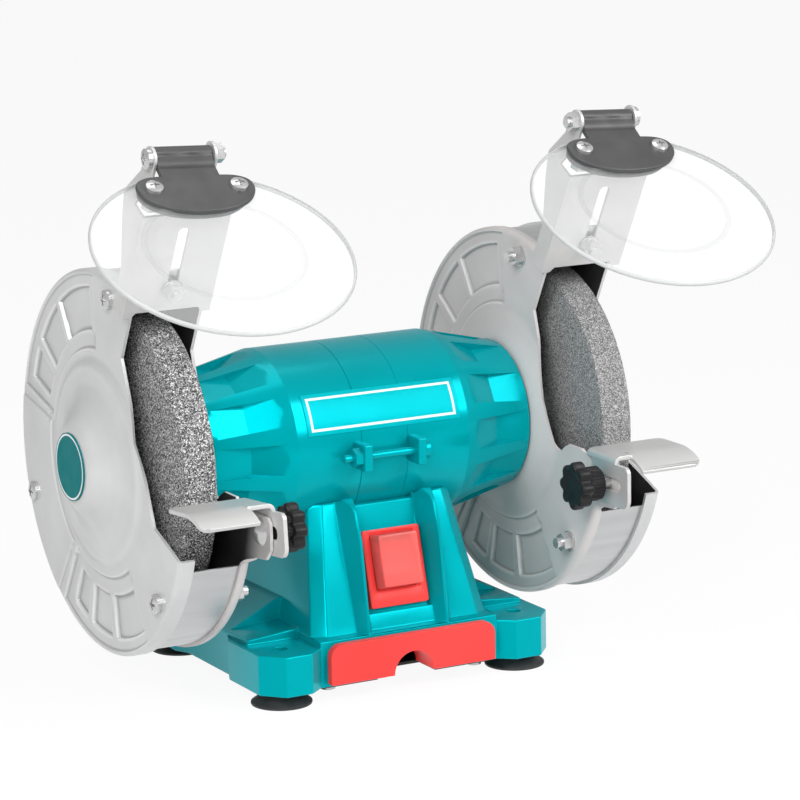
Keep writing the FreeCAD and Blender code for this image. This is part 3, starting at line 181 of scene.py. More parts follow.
# Finishes: two tones mixed in patches, a roughness range and a fine bump, all on Object coordinates.
# stretch makes the grain longer along an axis, as rolling or brushing does. pressed is the tone of the
# painted shade in the hollows of a pressing, and that of the painted highlight on its crests.
finishes = {
    "tealPaint": {"dark": (0.0, 0.322, 0.361), "light": (0.0, 0.354, 0.395), "patch": 24,
        "rough": (0.17, 0.23), "bump": (160, 2e-6), "metallic": 0.27, "tint": (0.0, 0.75, 0.85)},
    "redPlastic": {"dark": (0.80, 0.04, 0.036), "light": (0.88, 0.052, 0.046), "patch": 12,
        "rough": (0.34, 0.42), "bump": (900, 2e-6), "gloss": 0.3},
    "rockerRed": {"dark": (0.62, 0.012, 0.012), "light": (0.72, 0.02, 0.018), "patch": 12,
        "rough": (0.3, 0.4), "bump": (900, 2e-6), "gloss": 0.3},
    "guardPaint": {"dark": (0.55, 0.553, 0.555), "light": (0.62, 0.623, 0.625), "patch": 30,
        "rough": (0.3, 0.37), "bump": (700, 1e-6), "metallic": 0.3, "pressed": (0.2, 0.8)},
    # platePaint: grey with a slight warm tint that cancels the teal light bounced onto the plates from the
    # motor
    "platePaint": {"dark": (0.53, 0.507, 0.503), "light": (0.60, 0.577, 0.573), "patch": 30,
        "rough": (0.34, 0.42), "bump": (700, 1e-6), "gloss": 0.4, "pressed": (0.2, (0.78, 0.77, 0.77))},
    # inner faces of the covers: near black, painted shade for the dark inside of the guard
    "insideShade": {"dark": 0.03, "light": 0.045, "patch": 60, "rough": (0.45, 0.6), "bump": (1200, 2e-5)},
    "blackPaint": {"dark": 0.012, "light": 0.02, "patch": 60, "rough": (0.4, 0.55), "bump": (1200, 2e-5)},
    "zincSheet": {"dark": (0.53, 0.525, 0.52), "light": (0.60, 0.595, 0.59), "patch": 60,
        "rough": (0.34, 0.42), "bump": (400, 1e-6), "metallic": 0.4, "stretch": (0.3, 1, 1)},
    "brightZinc": {"dark": 0.50, "light": 0.62, "patch": 300, "rough": (0.19, 0.26), "bump": (900, 1e-5),
        "metallic": 0.7},
    "machinedSteel": {"dark": (0.55, 0.55, 0.56), "light": (0.68, 0.68, 0.69), "patch": 200,
        "rough": (0.19, 0.26), "bump": (800, 1e-5), "metallic": 1.0, "stretch": (1, 0.15, 0.15)},
    "blackPlastic": {"dark": (0.008, 0.008, 0.009), "light": (0.014, 0.014, 0.015), "patch": 90,
        "rough": (0.38, 0.48), "bump": (1800, 6e-6), "gloss": 0.25},
    "strapRubber": {"dark": (0.045, 0.045, 0.046), "light": (0.06, 0.06, 0.061), "patch": 80,
        "rough": (0.42, 0.52), "bump": (1500, 8e-6)},
    "blackRubber": {"dark": 0.014, "light": (0.028, 0.028, 0.029), "patch": 80, "rough": (0.5, 0.65),
        "bump": (1500, 3e-5)},
    "copperWire": {"dark": (0.42, 0.17, 0.07), "light": (0.66, 0.31, 0.14), "patch": 700,
        "rough": (0.3, 0.4), "bump": (900, 0.0001), "metallic": 0.9, "stretch": (1, 0.1, 0.1)},
    "coreSteel": {"dark": (0.22, 0.22, 0.23), "light": (0.36, 0.36, 0.37), "patch": 1500,
        "rough": (0.4, 0.5), "bump": (1500, 3e-5), "metallic": 0.8, "stretch": (1, 0.02, 0.02)},
    "rotorAlloy": {"dark": (0.6, 0.6, 0.61), "light": (0.72, 0.72, 0.73), "patch": 90, "rough": (0.38, 0.5),
        "bump": (700, 4e-5), "metallic": 0.9},
    "cageBrass": {"dark": (0.55, 0.42, 0.18), "light": (0.7, 0.56, 0.28), "patch": 150, "rough": (0.3, 0.4),
        "bump": (900, 1e-5), "metallic": 1.0},
    "capPlastic": {"dark": (0.72, 0.72, 0.70), "light": (0.82, 0.82, 0.80), "patch": 60, "rough": (0.4, 0.5),
        "bump": (1500, 2e-5)}}
# how far each pressed tone reaches: painted shade in the hollows, painted highlight on the crests
pressShadeShare = {"hollow": 0.6, "crest": 0.73333}
noiseSpan = (0.3, 0.7)
roughGrain = {"finer": 2.3, "detail": 5.0}
finish = {}

def startFinish(name):
    finish[name] = bpy.data.materials.new(name)
    finish[name].use_nodes = True
    tree = finish[name].node_tree
    place = put(tree, "ShaderNodeTexCoord").outputs["Object"]
    return tree, tree.nodes["Principled BSDF"], place

def stretched(tree, place, scale):
    return put(tree, "ShaderNodeMapping", {"Vector": place, "Scale": scale}).outputs[0]

def noiseField(tree, place, scale, detail=3.0):
    return put(tree, "ShaderNodeTexNoise", {"Vector": place, "Scale": scale, "Detail": detail}).outputs["Fac"]

def between(tree, field, low, high):
    # spreads the span that noise mostly keeps to over low to high
    return mapped(tree, field, fromMin=noiseSpan[0], fromMax=noiseSpan[1], toMin=low, toMax=high)

def mixed(tree, share, first, second):
    inputs = {"Factor": share, "A": first, "B": second}
    return put(tree, "ShaderNodeMix", inputs, data_type="RGBA").outputs["Result"]

def twoTone(tree, share, dark, light):
    return mixed(tree, share, colour(dark), colour(light))

def patched(tree, place, scale, dark, light):
    return twoTone(tree, between(tree, noiseField(tree, place, scale), 0, 1), dark, light)

def raised(tree, field, height):
    return put(tree, "ShaderNodeBump", {"Strength": 1.0, "Distance": height, "Height": field}).outputs[0]

def dress(tree, shader, place, tone, rough, bump, detail=3.0):
    # rough: noise scale, least and most; bump: noise scale and height
    scale, least, most = rough
    feed(tree, shader, {"Base Color": tone,
                        "Roughness": between(tree, noiseField(tree, place, scale, detail), least, most),
                        "Normal": raised(tree, noiseField(tree, place, bump[0]), bump[1])})

# painted shade: hollows take the dark pressed tone; painted highlight: crests take the bright one
def lined(tree, tone, hollow, crest):
    # the sheet's pressLine attribute runs from -1 on a crest to 1 in a hollow
    line = put(tree, "ShaderNodeAttribute", attribute_name="pressLine").outputs["Fac"]
    for end, share, tint in ((1, pressShadeShare["hollow"], hollow), (-1, pressShadeShare["crest"], crest)):
        tone = mixed(tree, mapped(tree, line, fromMax=end, toMax=share), tone, colour(tint))
    return tone

def makeFinish(name, f):
    tree, shader, place = startFinish(name)
    grain = stretched(tree, place, f["stretch"]) if "stretch" in f else place
    tone = patched(tree, grain, f["patch"], f["dark"], f["light"])
    if "pressed" in f:
        tone = lined(tree, tone, *f["pressed"])
    rough = (f["patch"] * roughGrain["finer"], *f["rough"])
    dress(tree, shader, grain, tone, rough, f["bump"], roughGrain["detail"])
    feed(tree, shader, {"Metallic": f.get("metallic", 0), "Specular Tint": colour(f.get("tint", 1.0)),
                        "Specular IOR Level": f.get("gloss", 0.5)})

for name, f in finishes.items():
    makeFinish(name, f)

# Wheels: packed grains of black, grey and white grit; tones are (share of the grains below, grey)
grits = {
    "coarseGrit": {"grain": 2100, "bump": 0.0002, "rough": (0.55, 0.9),
        "tones": ((0.0, 0.02), (0.22, 0.08), (0.45, 0.22), (0.7, 0.42), (0.88, 0.75))},
    "fineGrit": {"grain": 2600, "bump": 0.0001, "rough": (0.55, 0.9),
        "tones": ((0.0, 0.09), (0.3, 0.2), (0.6, 0.33), (0.85, 0.5))}}

def makeGrit(name, g):
    tree, shader, place = startFinish(name)
    cells = put(tree, "ShaderNodeTexVoronoi", {"Vector": place, "Scale": g["grain"], "Randomness": 1.0})
    chance = put(tree, "ShaderNodeSeparateColor", {0: cells.outputs["Color"]}).outputs
    ramp = put(tree, "ShaderNodeValToRGB", {0: chance[0]})
    ramp.color_ramp.interpolation = "CONSTANT"
    stops = ramp.color_ramp.elements
    while len(stops) < len(g["tones"]):
        stops.new(1.0)
    for stop, (at, tone) in zip(stops, g["tones"]):
        stop.position = at
        stop.color = colour(tone)
    feed(tree, shader, {"Base Color": ramp.outputs[0], "Normal": raised(tree, chance[1], g["bump"]),
                        "Roughness": between(tree, noiseField(tree, place, g["grain"] / 2), *g["rough"])})

for name, g in grits.items():
    makeGrit(name, g)

# Clear pane, with painted grey shade on its cut edge and along its bead for light bent by the clear sheet,
# and the soft red cover of the switch
clears = {
    "clearPane": {"tone": (0.8, 0.81, 0.81), "alpha": 0.16, "rough": 0.06},
    "paneEdgeShade": {"tone": (0.47, 0.48, 0.48), "alpha": 0.92, "rough": 0.3},
    "paneBeadShade": {"tone": (0.52, 0.53, 0.53), "alpha": 0.3, "rough": 0.15},
    "redCover": {"tone": (0.95, 0.17, 0.15), "alpha": 0.55, "rough": 0.17}}
clearHaze = {"patch": 30, "paler": 1.05, "scuffs": 120, "rougher": 1.5, "bump": (60, 1e-5)}

def makeClear(name, c):
    tree, shader, place = startFinish(name)
    h = clearHaze
    pale = tuple(min(1, h["paler"] * v) for v in c["tone"])
    tone = patched(tree, place, h["patch"], c["tone"], pale)
    dress(tree, shader, place, tone, (h["scuffs"], c["rough"], h["rougher"] * c["rough"]), h["bump"])
    feed(tree, shader, {"Alpha": c["alpha"]})

for name, c in clears.items():
    makeClear(name, c)

def radiusField(tree, place):
    # distance from the shaft line
    shaft = (0, 0, -shaftHeight * mm)
    shifted = put(tree, "ShaderNodeVectorMath", {0: place, 1: shaft}, operation="ADD")
    flat = put(tree, "ShaderNodeVectorMath", {0: shifted.outputs[0], 1: (0, 1, 1)}, operation="MULTIPLY")
    return put(tree, "ShaderNodeVectorMath", {0: flat.outputs[0]}, operation="LENGTH").outputs["Value"]

def above(tree, field, limit, soft=0.1):
    return mapped(tree, field, fromMin=(limit - soft) * mm, fromMax=(limit + soft) * mm)

def stripe(tree, field, low, high):
    return reckon(tree, "SUBTRACT", above(tree, field, low), above(tree, field, high))

# Band of the guard: bright zinc outside, near-black painted shade on its inner face
bandLook = {
    "split": 88.9, "stretch": (0.1, 1, 1), "streak": 160, "dark": (0.54, 0.545, 0.55),
    "light": (0.60, 0.605, 0.61), "inside": 0.015, "rough": (300, 0.29, 0.4), "bump": (500, 1e-6)}

def makeBandLook(v):
    tree, shader, place = startFinish("bandZinc")
    # below the split radius the inner face takes the painted shade
    outside = above(tree, radiusField(tree, place), v["split"])
    grain = stretched(tree, place, v["stretch"])
    zinc = patched(tree, grain, v["streak"], v["dark"], v["light"])
    dress(tree, shader, grain, mixed(tree, outside, colour(v["inside"]), zinc), v["rough"], v["bump"])
    feed(tree, shader, {"Metallic": outside})

makeBandLook(bandLook)

# Inner face of the plate: painted shade within the guard, plain grey out on the arm
insideLook = {
    "turnsGrey": 93.0, "soft": 7.0, "dark": 0.03, "grey": (0.4, 0.395, 0.39), "rough": (60, 0.4, 0.55),
    "bump": (1200, 1e-5)}

def makeInsideLook(v):
    tree, shader, place = startFinish("plateInsideShade")
    # inside the turnsGrey radius the face takes the painted shade, beyond it the plain grey
    outside = above(tree, radiusField(tree, place), v["turnsGrey"], v["soft"])
    dress(tree, shader, place, twoTone(tree, outside, v["dark"], v["grey"]), v["rough"], v["bump"])

makeInsideLook(insideLook)

# Label film: plain field with a white keyline
labelLook = {
    "across": (-40, 41), "angles": (12.5, 38.0), "margin": 2.0, "line": 1.1, "barrel": 45.7,
    "field": (0.0, 0.33, 0.37), "white": (0.85, 0.87, 0.87), "tint": (0.0, 0.75, 0.85), "flake": 0.22,
    "rough": (55, 0.3, 0.36), "bump": (160, 2e-6)}

def makeLabelLook(v):
    tree, shader, place = startFinish("labelFilm")
    xyz = put(tree, "ShaderNodeSeparateXYZ", {0: place}).outputs
    up = reckon(tree, "SUBTRACT", xyz["Z"], shaftHeight * mm)
    front = reckon(tree, "MULTIPLY", xyz["Y"], -1.0)
    arc = reckon(tree, "MULTIPLY", reckon(tree, "ARCTAN2", up, front), v["barrel"] * mm)
    bow = [math.radians(a) * v["barrel"] for a in v["angles"]]
    # distance in from the nearest edge of the film
    gaps = []
    for field, (low, high) in ((xyz["X"], v["across"]), (arc, bow)):
        off = reckon(tree, "SUBTRACT", field, (low + high) / 2 * mm)
        gaps.append(reckon(tree, "SUBTRACT", (high - low) / 2 * mm, reckon(tree, "ABSOLUTE", off)))
    line = stripe(tree, reckon(tree, "MINIMUM", *gaps), v["margin"], v["margin"] + v["line"])
    dress(tree, shader, place, twoTone(tree, line, v["field"], v["white"]), v["rough"], v["bump"])
    feed(tree, shader, {"Metallic": mapped(tree, line, toMin=v["flake"], toMax=0.0),
                        "Specular Tint": colour(v["tint"])})

makeLabelLook(labelLook)

# Hub badge: plain teal disc with a white ring
badgeLook = {
    "ring": (14.6, 15.5), "field": (0.0, 0.17, 0.18), "white": (0.82, 0.84, 0.84), "gloss": 0.1,
    "rough": (150, 0.45, 0.6), "bump": (700, 1e-6)}

def makeBadgeLook(v):
    tree, shader, place = startFinish("badgeFilm")
    line = stripe(tree, radiusField(tree, place), *v["ring"])
    dress(tree, shader, place, twoTone(tree, line, v["field"], v["white"]), v["rough"], v["bump"])
    feed(tree, shader, {"Specular IOR Level": v["gloss"]})

makeBadgeLook(badgeLook)
print("finishes:", len(finish))

# Meshes: points are worked out in millimetres as whole arrays and turned to metres in addPiece
mergeWithin = {"seam": 1e-6, "sliver": 1e-7, "weld": 1e-5}

def gridQuads(rows, columns, wrap, start):
    # quads between neighbouring rows and columns; wrap joins the last column to the first
    i, j = np.meshgrid(np.arange(rows - 1), np.arange(columns if wrap else columns - 1), indexing="ij")
    k = (j + 1) % columns
    quads = np.stack([i * columns + j, (i + 1) * columns + j, (i + 1) * columns + k, i * columns + k], -1)
    return quads.reshape(-1, 4) + start

def addPiece(name, grids, body, looks, replaced, outward=True, sharp=40, pressLine=None):
    # grids: (points of shape rows x columns x 3, wrap, material index); poles and seams are merged
    points = np.concatenate([grid.reshape(-1, 3) for grid, _, _ in grids])
    starts = np.cumsum([0] + [grid[..., 0].size for grid, _, _ in grids])
    faces = [gridQuads(*grid.shape[:2], wrap, start) for (grid, wrap, _), start in zip(grids, starts)]
    index = np.concatenate([np.full(len(part), look) for part, (_, _, look) in zip(faces, grids)])
    quads = np.concatenate(faces)
    mesh = bpy.data.meshes.new(name)
    mesh.vertices.add(len(points))
    mesh.vertices.foreach_set("co", (points * mm).ravel())
    mesh.loops.add(quads.size)
    mesh.loops.foreach_set("vertex_index", quads.ravel())
    mesh.polygons.add(len(quads))
    mesh.polygons.foreach_set("loop_start", np.arange(0, quads.size, 4))
    for look in looks:
        mesh.materials.append(finish[look])
    mesh.polygons.foreach_set("material_index", index)
    mesh.polygons.foreach_set("use_smooth", np.ones(len(quads), bool))
    mesh.update(calc_edges=True)
    mesh.validate()
    # pressLine places the painted shade in the hollows and the painted highlight on the crests of a pressing
    if pressLine is not None:
        values = mesh.attributes.new("pressLine", "FLOAT", "POINT").data
        values.foreach_set("value", pressLine.ravel().astype(np.float32))
    joined = bmesh.new()
    joined.from_mesh(mesh)
    bmesh.ops.remove_doubles(joined, verts=joined.verts, dist=mergeWithin["seam"])
    bmesh.ops.dissolve_degenerate(joined, edges=joined.edges, dist=mergeWithin["sliver"])
    if outward:
        bmesh.ops.recalc_face_normals(joined, faces=joined.faces)
    joined.to_mesh(mesh)
    joined.free()
    mesh.set_sharp_from_angle(angle=math.radians(sharp))
    piece = bpy.data.objects.new(name, mesh)
    scene.collection.objects.link(piece)
    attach(piece, body)
    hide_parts(*replaced)
    return piece

def softenEdges(piece, width, turn, keepSharp=False, yielding=True):
    # turn: least bend in degrees that counts as an edge; a yielding width gives way where edges are short
    bevel = piece.modifiers.new("roundedEdges", "BEVEL")
    bevel.width = width * mm
    bevel.segments = 2
    bevel.limit_method = "ANGLE"
    bevel.angle_limit = math.radians(turn)
    bevel.use_clamp_overlap = yielding
    piece.modifiers.new("evenShading", "WEIGHTED_NORMAL").keep_sharp = keepSharp

def ease(value, low, high):
    # smooth step from 0 at low to 1 at high
    t = np.clip((value - low) / (high - low), 0, 1)
    return t * t * (3 - 2 * t)

def pad(value, low, high, soft):
    # 1 between low and high with soft flanks
    return ease(value, low - soft / 2, low + soft / 2) * (1 - ease(value, high - soft / 2, high + soft / 2))

def softLine(value, line, soft):
    # broken line of heights over radii, its corners rounded by averaging over a window
    shifts = np.linspace(-soft, soft, 9)
    return np.mean([np.interp(value + d, line["radius"], line["height"]) for d in shifts], axis=0)

def turned(first, second, degrees):
    c, s = math.cos(math.radians(degrees)), math.sin(math.radians(degrees))
    return first * c - second * s, first * s + second * c

def spun(profile, turns, axis, centre, swell=None):
    # surface of revolution: profile rows are (along the axis, radius), swell changes the radius by angle
    a = np.linspace(0, 2 * np.pi, turns, endpoint=False)
    along = np.repeat(profile[:, :1], turns, axis=1)
    far = np.repeat(profile[:, 1:2], turns, axis=1)
    if swell is not None:
        far = swell(along, far, a)
    c, s = far * np.cos(a), far * np.sin(a)
    grid = {"x": (along, c, s), "z": (c, s, along)}[axis]
    return np.stack(grid, -1) + np.array(centre)

def arcRows(centre, radius, start, end, count):
    a = np.radians(np.linspace(start, end, count))
    return np.stack([centre[0] + radius * np.cos(a), centre[1] + radius * np.sin(a)], -1)

def smoothLoop(points, count, times):
    # closed outline resampled evenly through its corner points, then averaged with its neighbours a few times
    points = np.array(points, float)
    loop = np.vstack([points, points[:1]])
    run = np.concatenate([[0], np.cumsum(np.hypot(*np.diff(loop, axis=0).T))])
    at = np.linspace(0, run[-1], count, endpoint=False)
    loop = np.stack([np.interp(at, run, loop[:, 0]), np.interp(at, run, loop[:, 1])], -1)
    for _ in range(times):
        loop = (np.roll(loop, 1, 0) + 2 * loop + np.roll(loop, -1, 0)) / 4
    return loop

def boxLoop(low, high, count, times):
    return smoothLoop([low, (high[0], low[1]), high, (low[0], high[1])], count, times)

def slabGrid(outline, low, high, curl, crown=0.0):
    # plate with rounded edges: rings of the outline pulled in along its normals and closed on its centre
    along = np.roll(outline, -1, 0) - np.roll(outline, 1, 0)
    normal = np.stack([along[:, 1], -along[:, 0]], -1) / np.hypot(*along.T)[:, None]
    middle = outline.mean(0)
    bend = np.radians(np.linspace(0, 90, 5))
    face = np.array((0.0, 0.5, 0.85))
    inset = curl * np.concatenate([[1, 1, 1], 1 - np.cos(bend[::-1]), 1 - np.cos(bend), [1, 1, 1]])
    share = np.concatenate([face, np.ones(2 * len(bend)), face[::-1]])
    level = np.concatenate([np.full(3, low), low + curl * (1 - np.sin(bend[::-1])),
                            high - curl * (1 - np.sin(bend)), high + crown * (1 - face[::-1] ** 2)])
    rings = middle + (outline - normal * inset[:, None, None] - middle) * share[:, None, None]
    levels = np.broadcast_to(level[:, None, None], (len(level), len(outline), 1))
    return np.concatenate([rings, levels], -1)

# Guards: pressed sheets. A row has one radius; its columns run round from the upper edge of the mouth
# to the lower edge, so the mouth opens where the chord between the edges cuts the row's circle.
guardSize = {
    "rim": 91.0, "round": 2.5, "flange": 5.5, "plateFlange": 2.3, "sheet": 1.5, "edge": (0.3, 55),
    "mouthAngle": 61.5, "mouthRadius": 62.0, "coverStart": 0.01, "plateStart": 31.0, "plateLift": 0.6,
    "windows": ((95, 122), (125, 144), (148, 160), (244, 254), (258, 274), (278, 301)),
    "windowRadius": (62.5, 82.5), "windowDeep": 1.9, "panels": ((90, 164.5), (238, 303)),
    "panelRadius": 54.0, "panelDeep": 1.5, "sector": (168, 234), "sectorHigh": 0.8, "soft": 1.1,
    "lineWide": 0.7, "lineFull": 0.3, "bellEnd": 51, "discEnd": 86, "rimLead": (86.6, 87.4, 88.2),
    "bellSoft": 1.6, "rowReach": 0.7, "columnReach": 0.9, "fineTurn": 26}
bellLine = {
    "radius": (0, 15.8, 18.6, 20.8, 25, 30, 36, 42, 46.5, 49, 120),
    "height": (13.9, 13.9, 13.3, 11.9, 8.4, 5.4, 3.1, 2.1, 2.0, 0, 0)}
noseLine = {"radius": (0, 37, 40, 46, 52, 120), "height": (5.5, 5.5, 4.6, 2.0, 0, 0)}
coverEdge = ((-59.3, -19.2), (-88.5, -31.0), (-100.0, -35.6))
plateEdge = ((-48.5, -7.7), (-50.5, -10.2), (-54.0, -11.2), (-57.5, -8.2), (-61.5, -6.2), (-74.0, -6.2))
armSize = {
    "opens": (336.5, 341), "dip": {"left": 2.4, "right": 0.0}, "front": 107.0, "top": -7.3, "bottom": -31.0,
    "edgeFrom": -75.0, "root": ((-80.0, -12), (-92.0, 0)), "corner": (4, 5), "follow": 8}

def crossing(radius, start, end, upper):
    # angle where the line from start to end meets a circle; below the line's foot both ends meet at the foot
    start, step = np.array(start), np.array(end) - np.array(start)
    size = np.hypot(*step)
    foot = -start @ step / size ** 2
    near = np.hypot(*(start + foot * step))
    reach = np.sqrt(np.maximum(radius ** 2 - near ** 2, 0)) / size
    t = foot - reach if upper else foot + reach
    return np.degrees(np.arctan2(start[1] + t * step[1], -(start[0] + t * step[0])))

def polar(points):
    # radius and angle about the shaft: 0 at the front, 90 at the top
    points = np.array(points)
    return np.hypot(*points.T), np.degrees(np.arctan2(points[:, 1], -points[:, 0]))

def pressing(radius, angle, g):
    # stamped relief: sunk panels with sunk windows in them and one raised sector
    arc = np.radians(1) * np.maximum(radius, 1)
    wide = (g["panelRadius"], g["rim"] - g["round"])
    stamps = [(-g["panelDeep"], wide, span) for span in g["panels"]]
    stamps += [(-g["windowDeep"], g["windowRadius"], span) for span in g["windows"]]
    stamps.append((g["sectorHigh"], wide, g["sector"]))
    relief = np.zeros_like(radius)
    for height, band, (low, high) in stamps:
        relief += height * pad(angle * arc, low * arc, high * arc, g["soft"]) * pad(radius, *band, g["soft"])
    return relief

def pressLines(radius, angle, g, line):
    # how far a point lies below (hollow, positive) or above (crest) the mean of its four neighbours
    def shape(outward, onward):
        r = radius + outward
        return pressing(r, angle + onward, g) + softLine(r, line, g["bellSoft"])

    step = g["lineWide"]
    turn = np.degrees(step / np.maximum(radius, 1))
    around = shape(step, 0) + shape(-step, 0) + shape(0, turn) + shape(0, -turn)
    return np.clip((around / 4 - shape(0, 0)) / g["lineFull"], -1, 1)

def guardSheet(g, start, chordEnd, lowerEdge, line, flangeOut, arm=None):
    # rows: radius samples across the disc from start, then round the rim and along the flange
    reach = g["rowReach"]
    steps = np.array((g["panelRadius"],) + g["windowRadius"])[:, None] + np.linspace(-reach, reach, 8)
    fine = np.unique(np.concatenate([np.linspace(start, g["bellEnd"], 40),
                                     np.linspace(g["bellEnd"], g["discEnd"], 24), steps.ravel()]))
    curl = np.radians(np.linspace(0, 90, 7))
    lead, rim, bend = g["rimLead"], g["rim"], g["round"]
    rimRadius = np.concatenate([lead, rim - bend * (1 - np.sin(curl)), np.full(4, rim)])
    rimDrop = np.concatenate([np.zeros(len(lead)), bend * (1 - np.cos(curl)),
                              bend + flangeOut * np.linspace(0.25, 1, 4)])
    rows = np.concatenate([fine, rimRadius])
    drop = np.concatenate([np.zeros(len(fine)), rimDrop])

    mouth, top = g["mouthAngle"], np.radians(g["mouthAngle"])
    corner = (-g["mouthRadius"] * np.cos(top), g["mouthRadius"] * np.sin(top))
    edgeRadius, edgeAngle = polar(lowerEdge)
    high = np.where(rows < g["mouthRadius"], crossing(rows, corner, chordEnd, True), mouth)
    low = np.where(rows < edgeRadius[0], crossing(rows, corner, chordEnd, False),
                   np.interp(rows, edgeRadius, edgeAngle))
    high, low = np.minimum(high, mouth), low + 360

    # columns: even, with more of them at the flanks of the pressing and near the lower edge
    reach, last = g["columnReach"], low[-1]
    marks = np.array([a for span in g["windows"] + g["panels"] + (g["sector"],) for a in span])
    near = (marks[:, None] + np.linspace(-reach, reach, 7)).ravel()
    spread = [np.linspace(mouth, last, 170), near, np.linspace(last - g["fineTurn"], last, 60)]
    spread = np.unique(np.clip(np.concatenate(spread), mouth, last).round(3))
    t = (spread - mouth) / (last - mouth)
    angle = high[:, None] + (low - high)[:, None] * t
    radius = np.repeat(rows[:, None], len(t), axis=1)
    fall = np.repeat(drop[:, None], len(t), axis=1)
    if arm:
        # the rim opens out flat into the arm near the mouth's lower edge
        ends = np.array(arm["outline"], float)
        away, bearing = polar(np.concatenate([np.linspace(p, q, 20) for p, q in zip(ends, ends[1:])]))
        order = np.argsort(bearing)
        far = np.interp(angle, bearing[order] + 360, away[order])
        opened = ease(angle, *arm["opens"])
        base = fine[-1]
        walk = np.clip((np.arange(len(rows)) - len(fine) + 1) / len(rimRadius), 0, 1)[:, None]
        outer = walk > 0
        radius = np.where(outer, (1 - opened) * radius + opened * (base + (far - base) * walk), radius)
        fall = fall * (1 - opened)
        shift = np.interp(radius, edgeRadius, edgeAngle) + 360 - low[:, None]
        angle = np.where(outer, angle + opened * shift * t ** arm["follow"], angle)
    height = softLine(radius, line, g["bellSoft"]) + pressing(radius, angle, g) - fall
    turn = np.radians(angle)
    # these lines drive the painted shade in hollows and painted highlight on crests
    lines = pressLines(radius, angle, g, line)
    return height, -radius * np.cos(turn), radius * np.sin(turn) + shaftHeight, lines

def addSheet(name, node, looks, g, x, sheet, flipped):
    y, z, lines = sheet
    grid = np.stack([x, y, z], -1)
    if flipped:
        grid, lines = grid[::-1], lines[::-1]
    piece = addPiece(name, [(grid, False, 0)], "frame", looks, [node], outward=False,
                     pressLine=lines)
    shell = piece.modifiers.new("sheetThickness", "SOLIDIFY")
    shell.thickness = g["sheet"] * mm
    shell.offset = -1
    shell.material_offset = 1
    softenEdges(piece, *g["edge"])

def buildGuards(g):
    for side, way in sides.items():
        node = side + "_guard_cover"
        height, *sheet = guardSheet(g, g["coverStart"], coverEdge[0], coverEdge, bellLine, g["flange"])
        x = way * (endsOf(node)[1] - bellLine["height"][0] + height)
        addSheet(side + "Cover", node, ("guardPaint", "insideShade"), g, x, sheet, way > 0)

        node = side + "_guard_plate"
        top = armSize["top"] - armSize["dip"][side]
        f, b, (c, d) = -armSize["front"], armSize["bottom"], armSize["corner"]
        edge = plateEdge + ((armSize["edgeFrom"], top), (f + c, top), (f - c, top))
        outline = [(at, b + more) for at, more in armSize["root"]]
        outline += [(f + d, b), (f, b + d), (f, top - c), (f + c, top)]
        arm = dict(armSize, outline=outline)
        height, *sheet = guardSheet(g, g["plateStart"], plateEdge[0], edge, noseLine, g["plateFlange"], arm)
        x = way * (endsOf(node)[0] + g["plateLift"] - height)
        addSheet(side + "Plate", node, ("platePaint", "plateInsideShade"), g, x, sheet, way < 0)
    print("guards pressed")

buildGuards(guardSize)

# Eye shields: oval panes leaned forward from the pivot, with a half-round rim and a faint oval bead
shieldSize = {
    "halfWide": 60.0, "halfDeep": 54.0, "middle": 62.5, "top": -2.5, "thick": 2.4, "tilt": 32.3, "skew": 4.4,
    "bead": 0.8, "beadAt": 0.6, "beadWide": 0.12, "beadLine": 0.025, "turns": 160, "rimRows": 13}

def hung(side, points):
    # local points about the pivot (front along -Y) skewed, leaned and carried to their place
    x, y, z = np.moveaxis(points, -1, 0)
    x, y = turned(x, y, -shieldSize["skew"])
    y, z = turned(y, z, shieldSize["tilt"])
    pivot = centreOf(side + "_pivot_bolt")
    return np.stack([x + centreOf(side + "_wheel").x, y + pivot.y, z + pivot.z], -1)

def buildShields(s):
    a = np.linspace(0, 2 * np.pi, s["turns"], endpoint=False)
    half, rim = s["thick"] / 2, s["rimRows"]
    inner = np.concatenate([np.linspace(0, 0.5, 6), np.linspace(0.52, 0.74, 24), np.linspace(0.76, 0.97, 8)])
    bend = np.radians(np.linspace(90, -90, rim))
    # upper face, then round the rim, then the lower face
    edge = len(inner)
    rows = np.concatenate([inner, np.ones(rim), inner[::-1]])
    grow = np.concatenate([np.zeros(edge), half * (np.cos(bend) - 1), np.zeros(edge)])
    level = np.concatenate([np.full(edge, half), half * np.sin(bend), np.full(edge, -half)])
    lift = s["bead"] * np.exp(-((rows - s["beadAt"]) / (s["beadWide"] / 2)) ** 2)
    x = (rows * s["halfWide"] + grow)[:, None] * np.cos(a)
    y = (rows * s["halfDeep"] + grow)[:, None] * np.sin(a) - s["middle"]
    z = np.repeat((level + lift + s["top"] - half)[:, None], len(a), axis=1)
    # the rim and a thin band over the bead take the painted grey shade
    first, last = np.searchsorted(inner, (s["beadAt"] - s["beadLine"], s["beadAt"] + s["beadLine"]))
    cuts = ((0, first, 0), (first, last, 2), (last, edge, 0), (edge, edge + rim - 1, 1),
            (edge + rim - 1, len(rows) - 1, 0))
    for side in sides:
        grid = hung(side, np.stack([x, y, z], -1))
        grids = [(grid[start:end + 1], True, look) for start, end, look in cuts]
        looks = ("clearPane", "paneEdgeShade", "paneBeadShade")
        addPiece(side + "Pane", grids, side + "_shield", looks, [side + "_eye_shield"])
    print("shields hung")

buildShields(shieldSize)

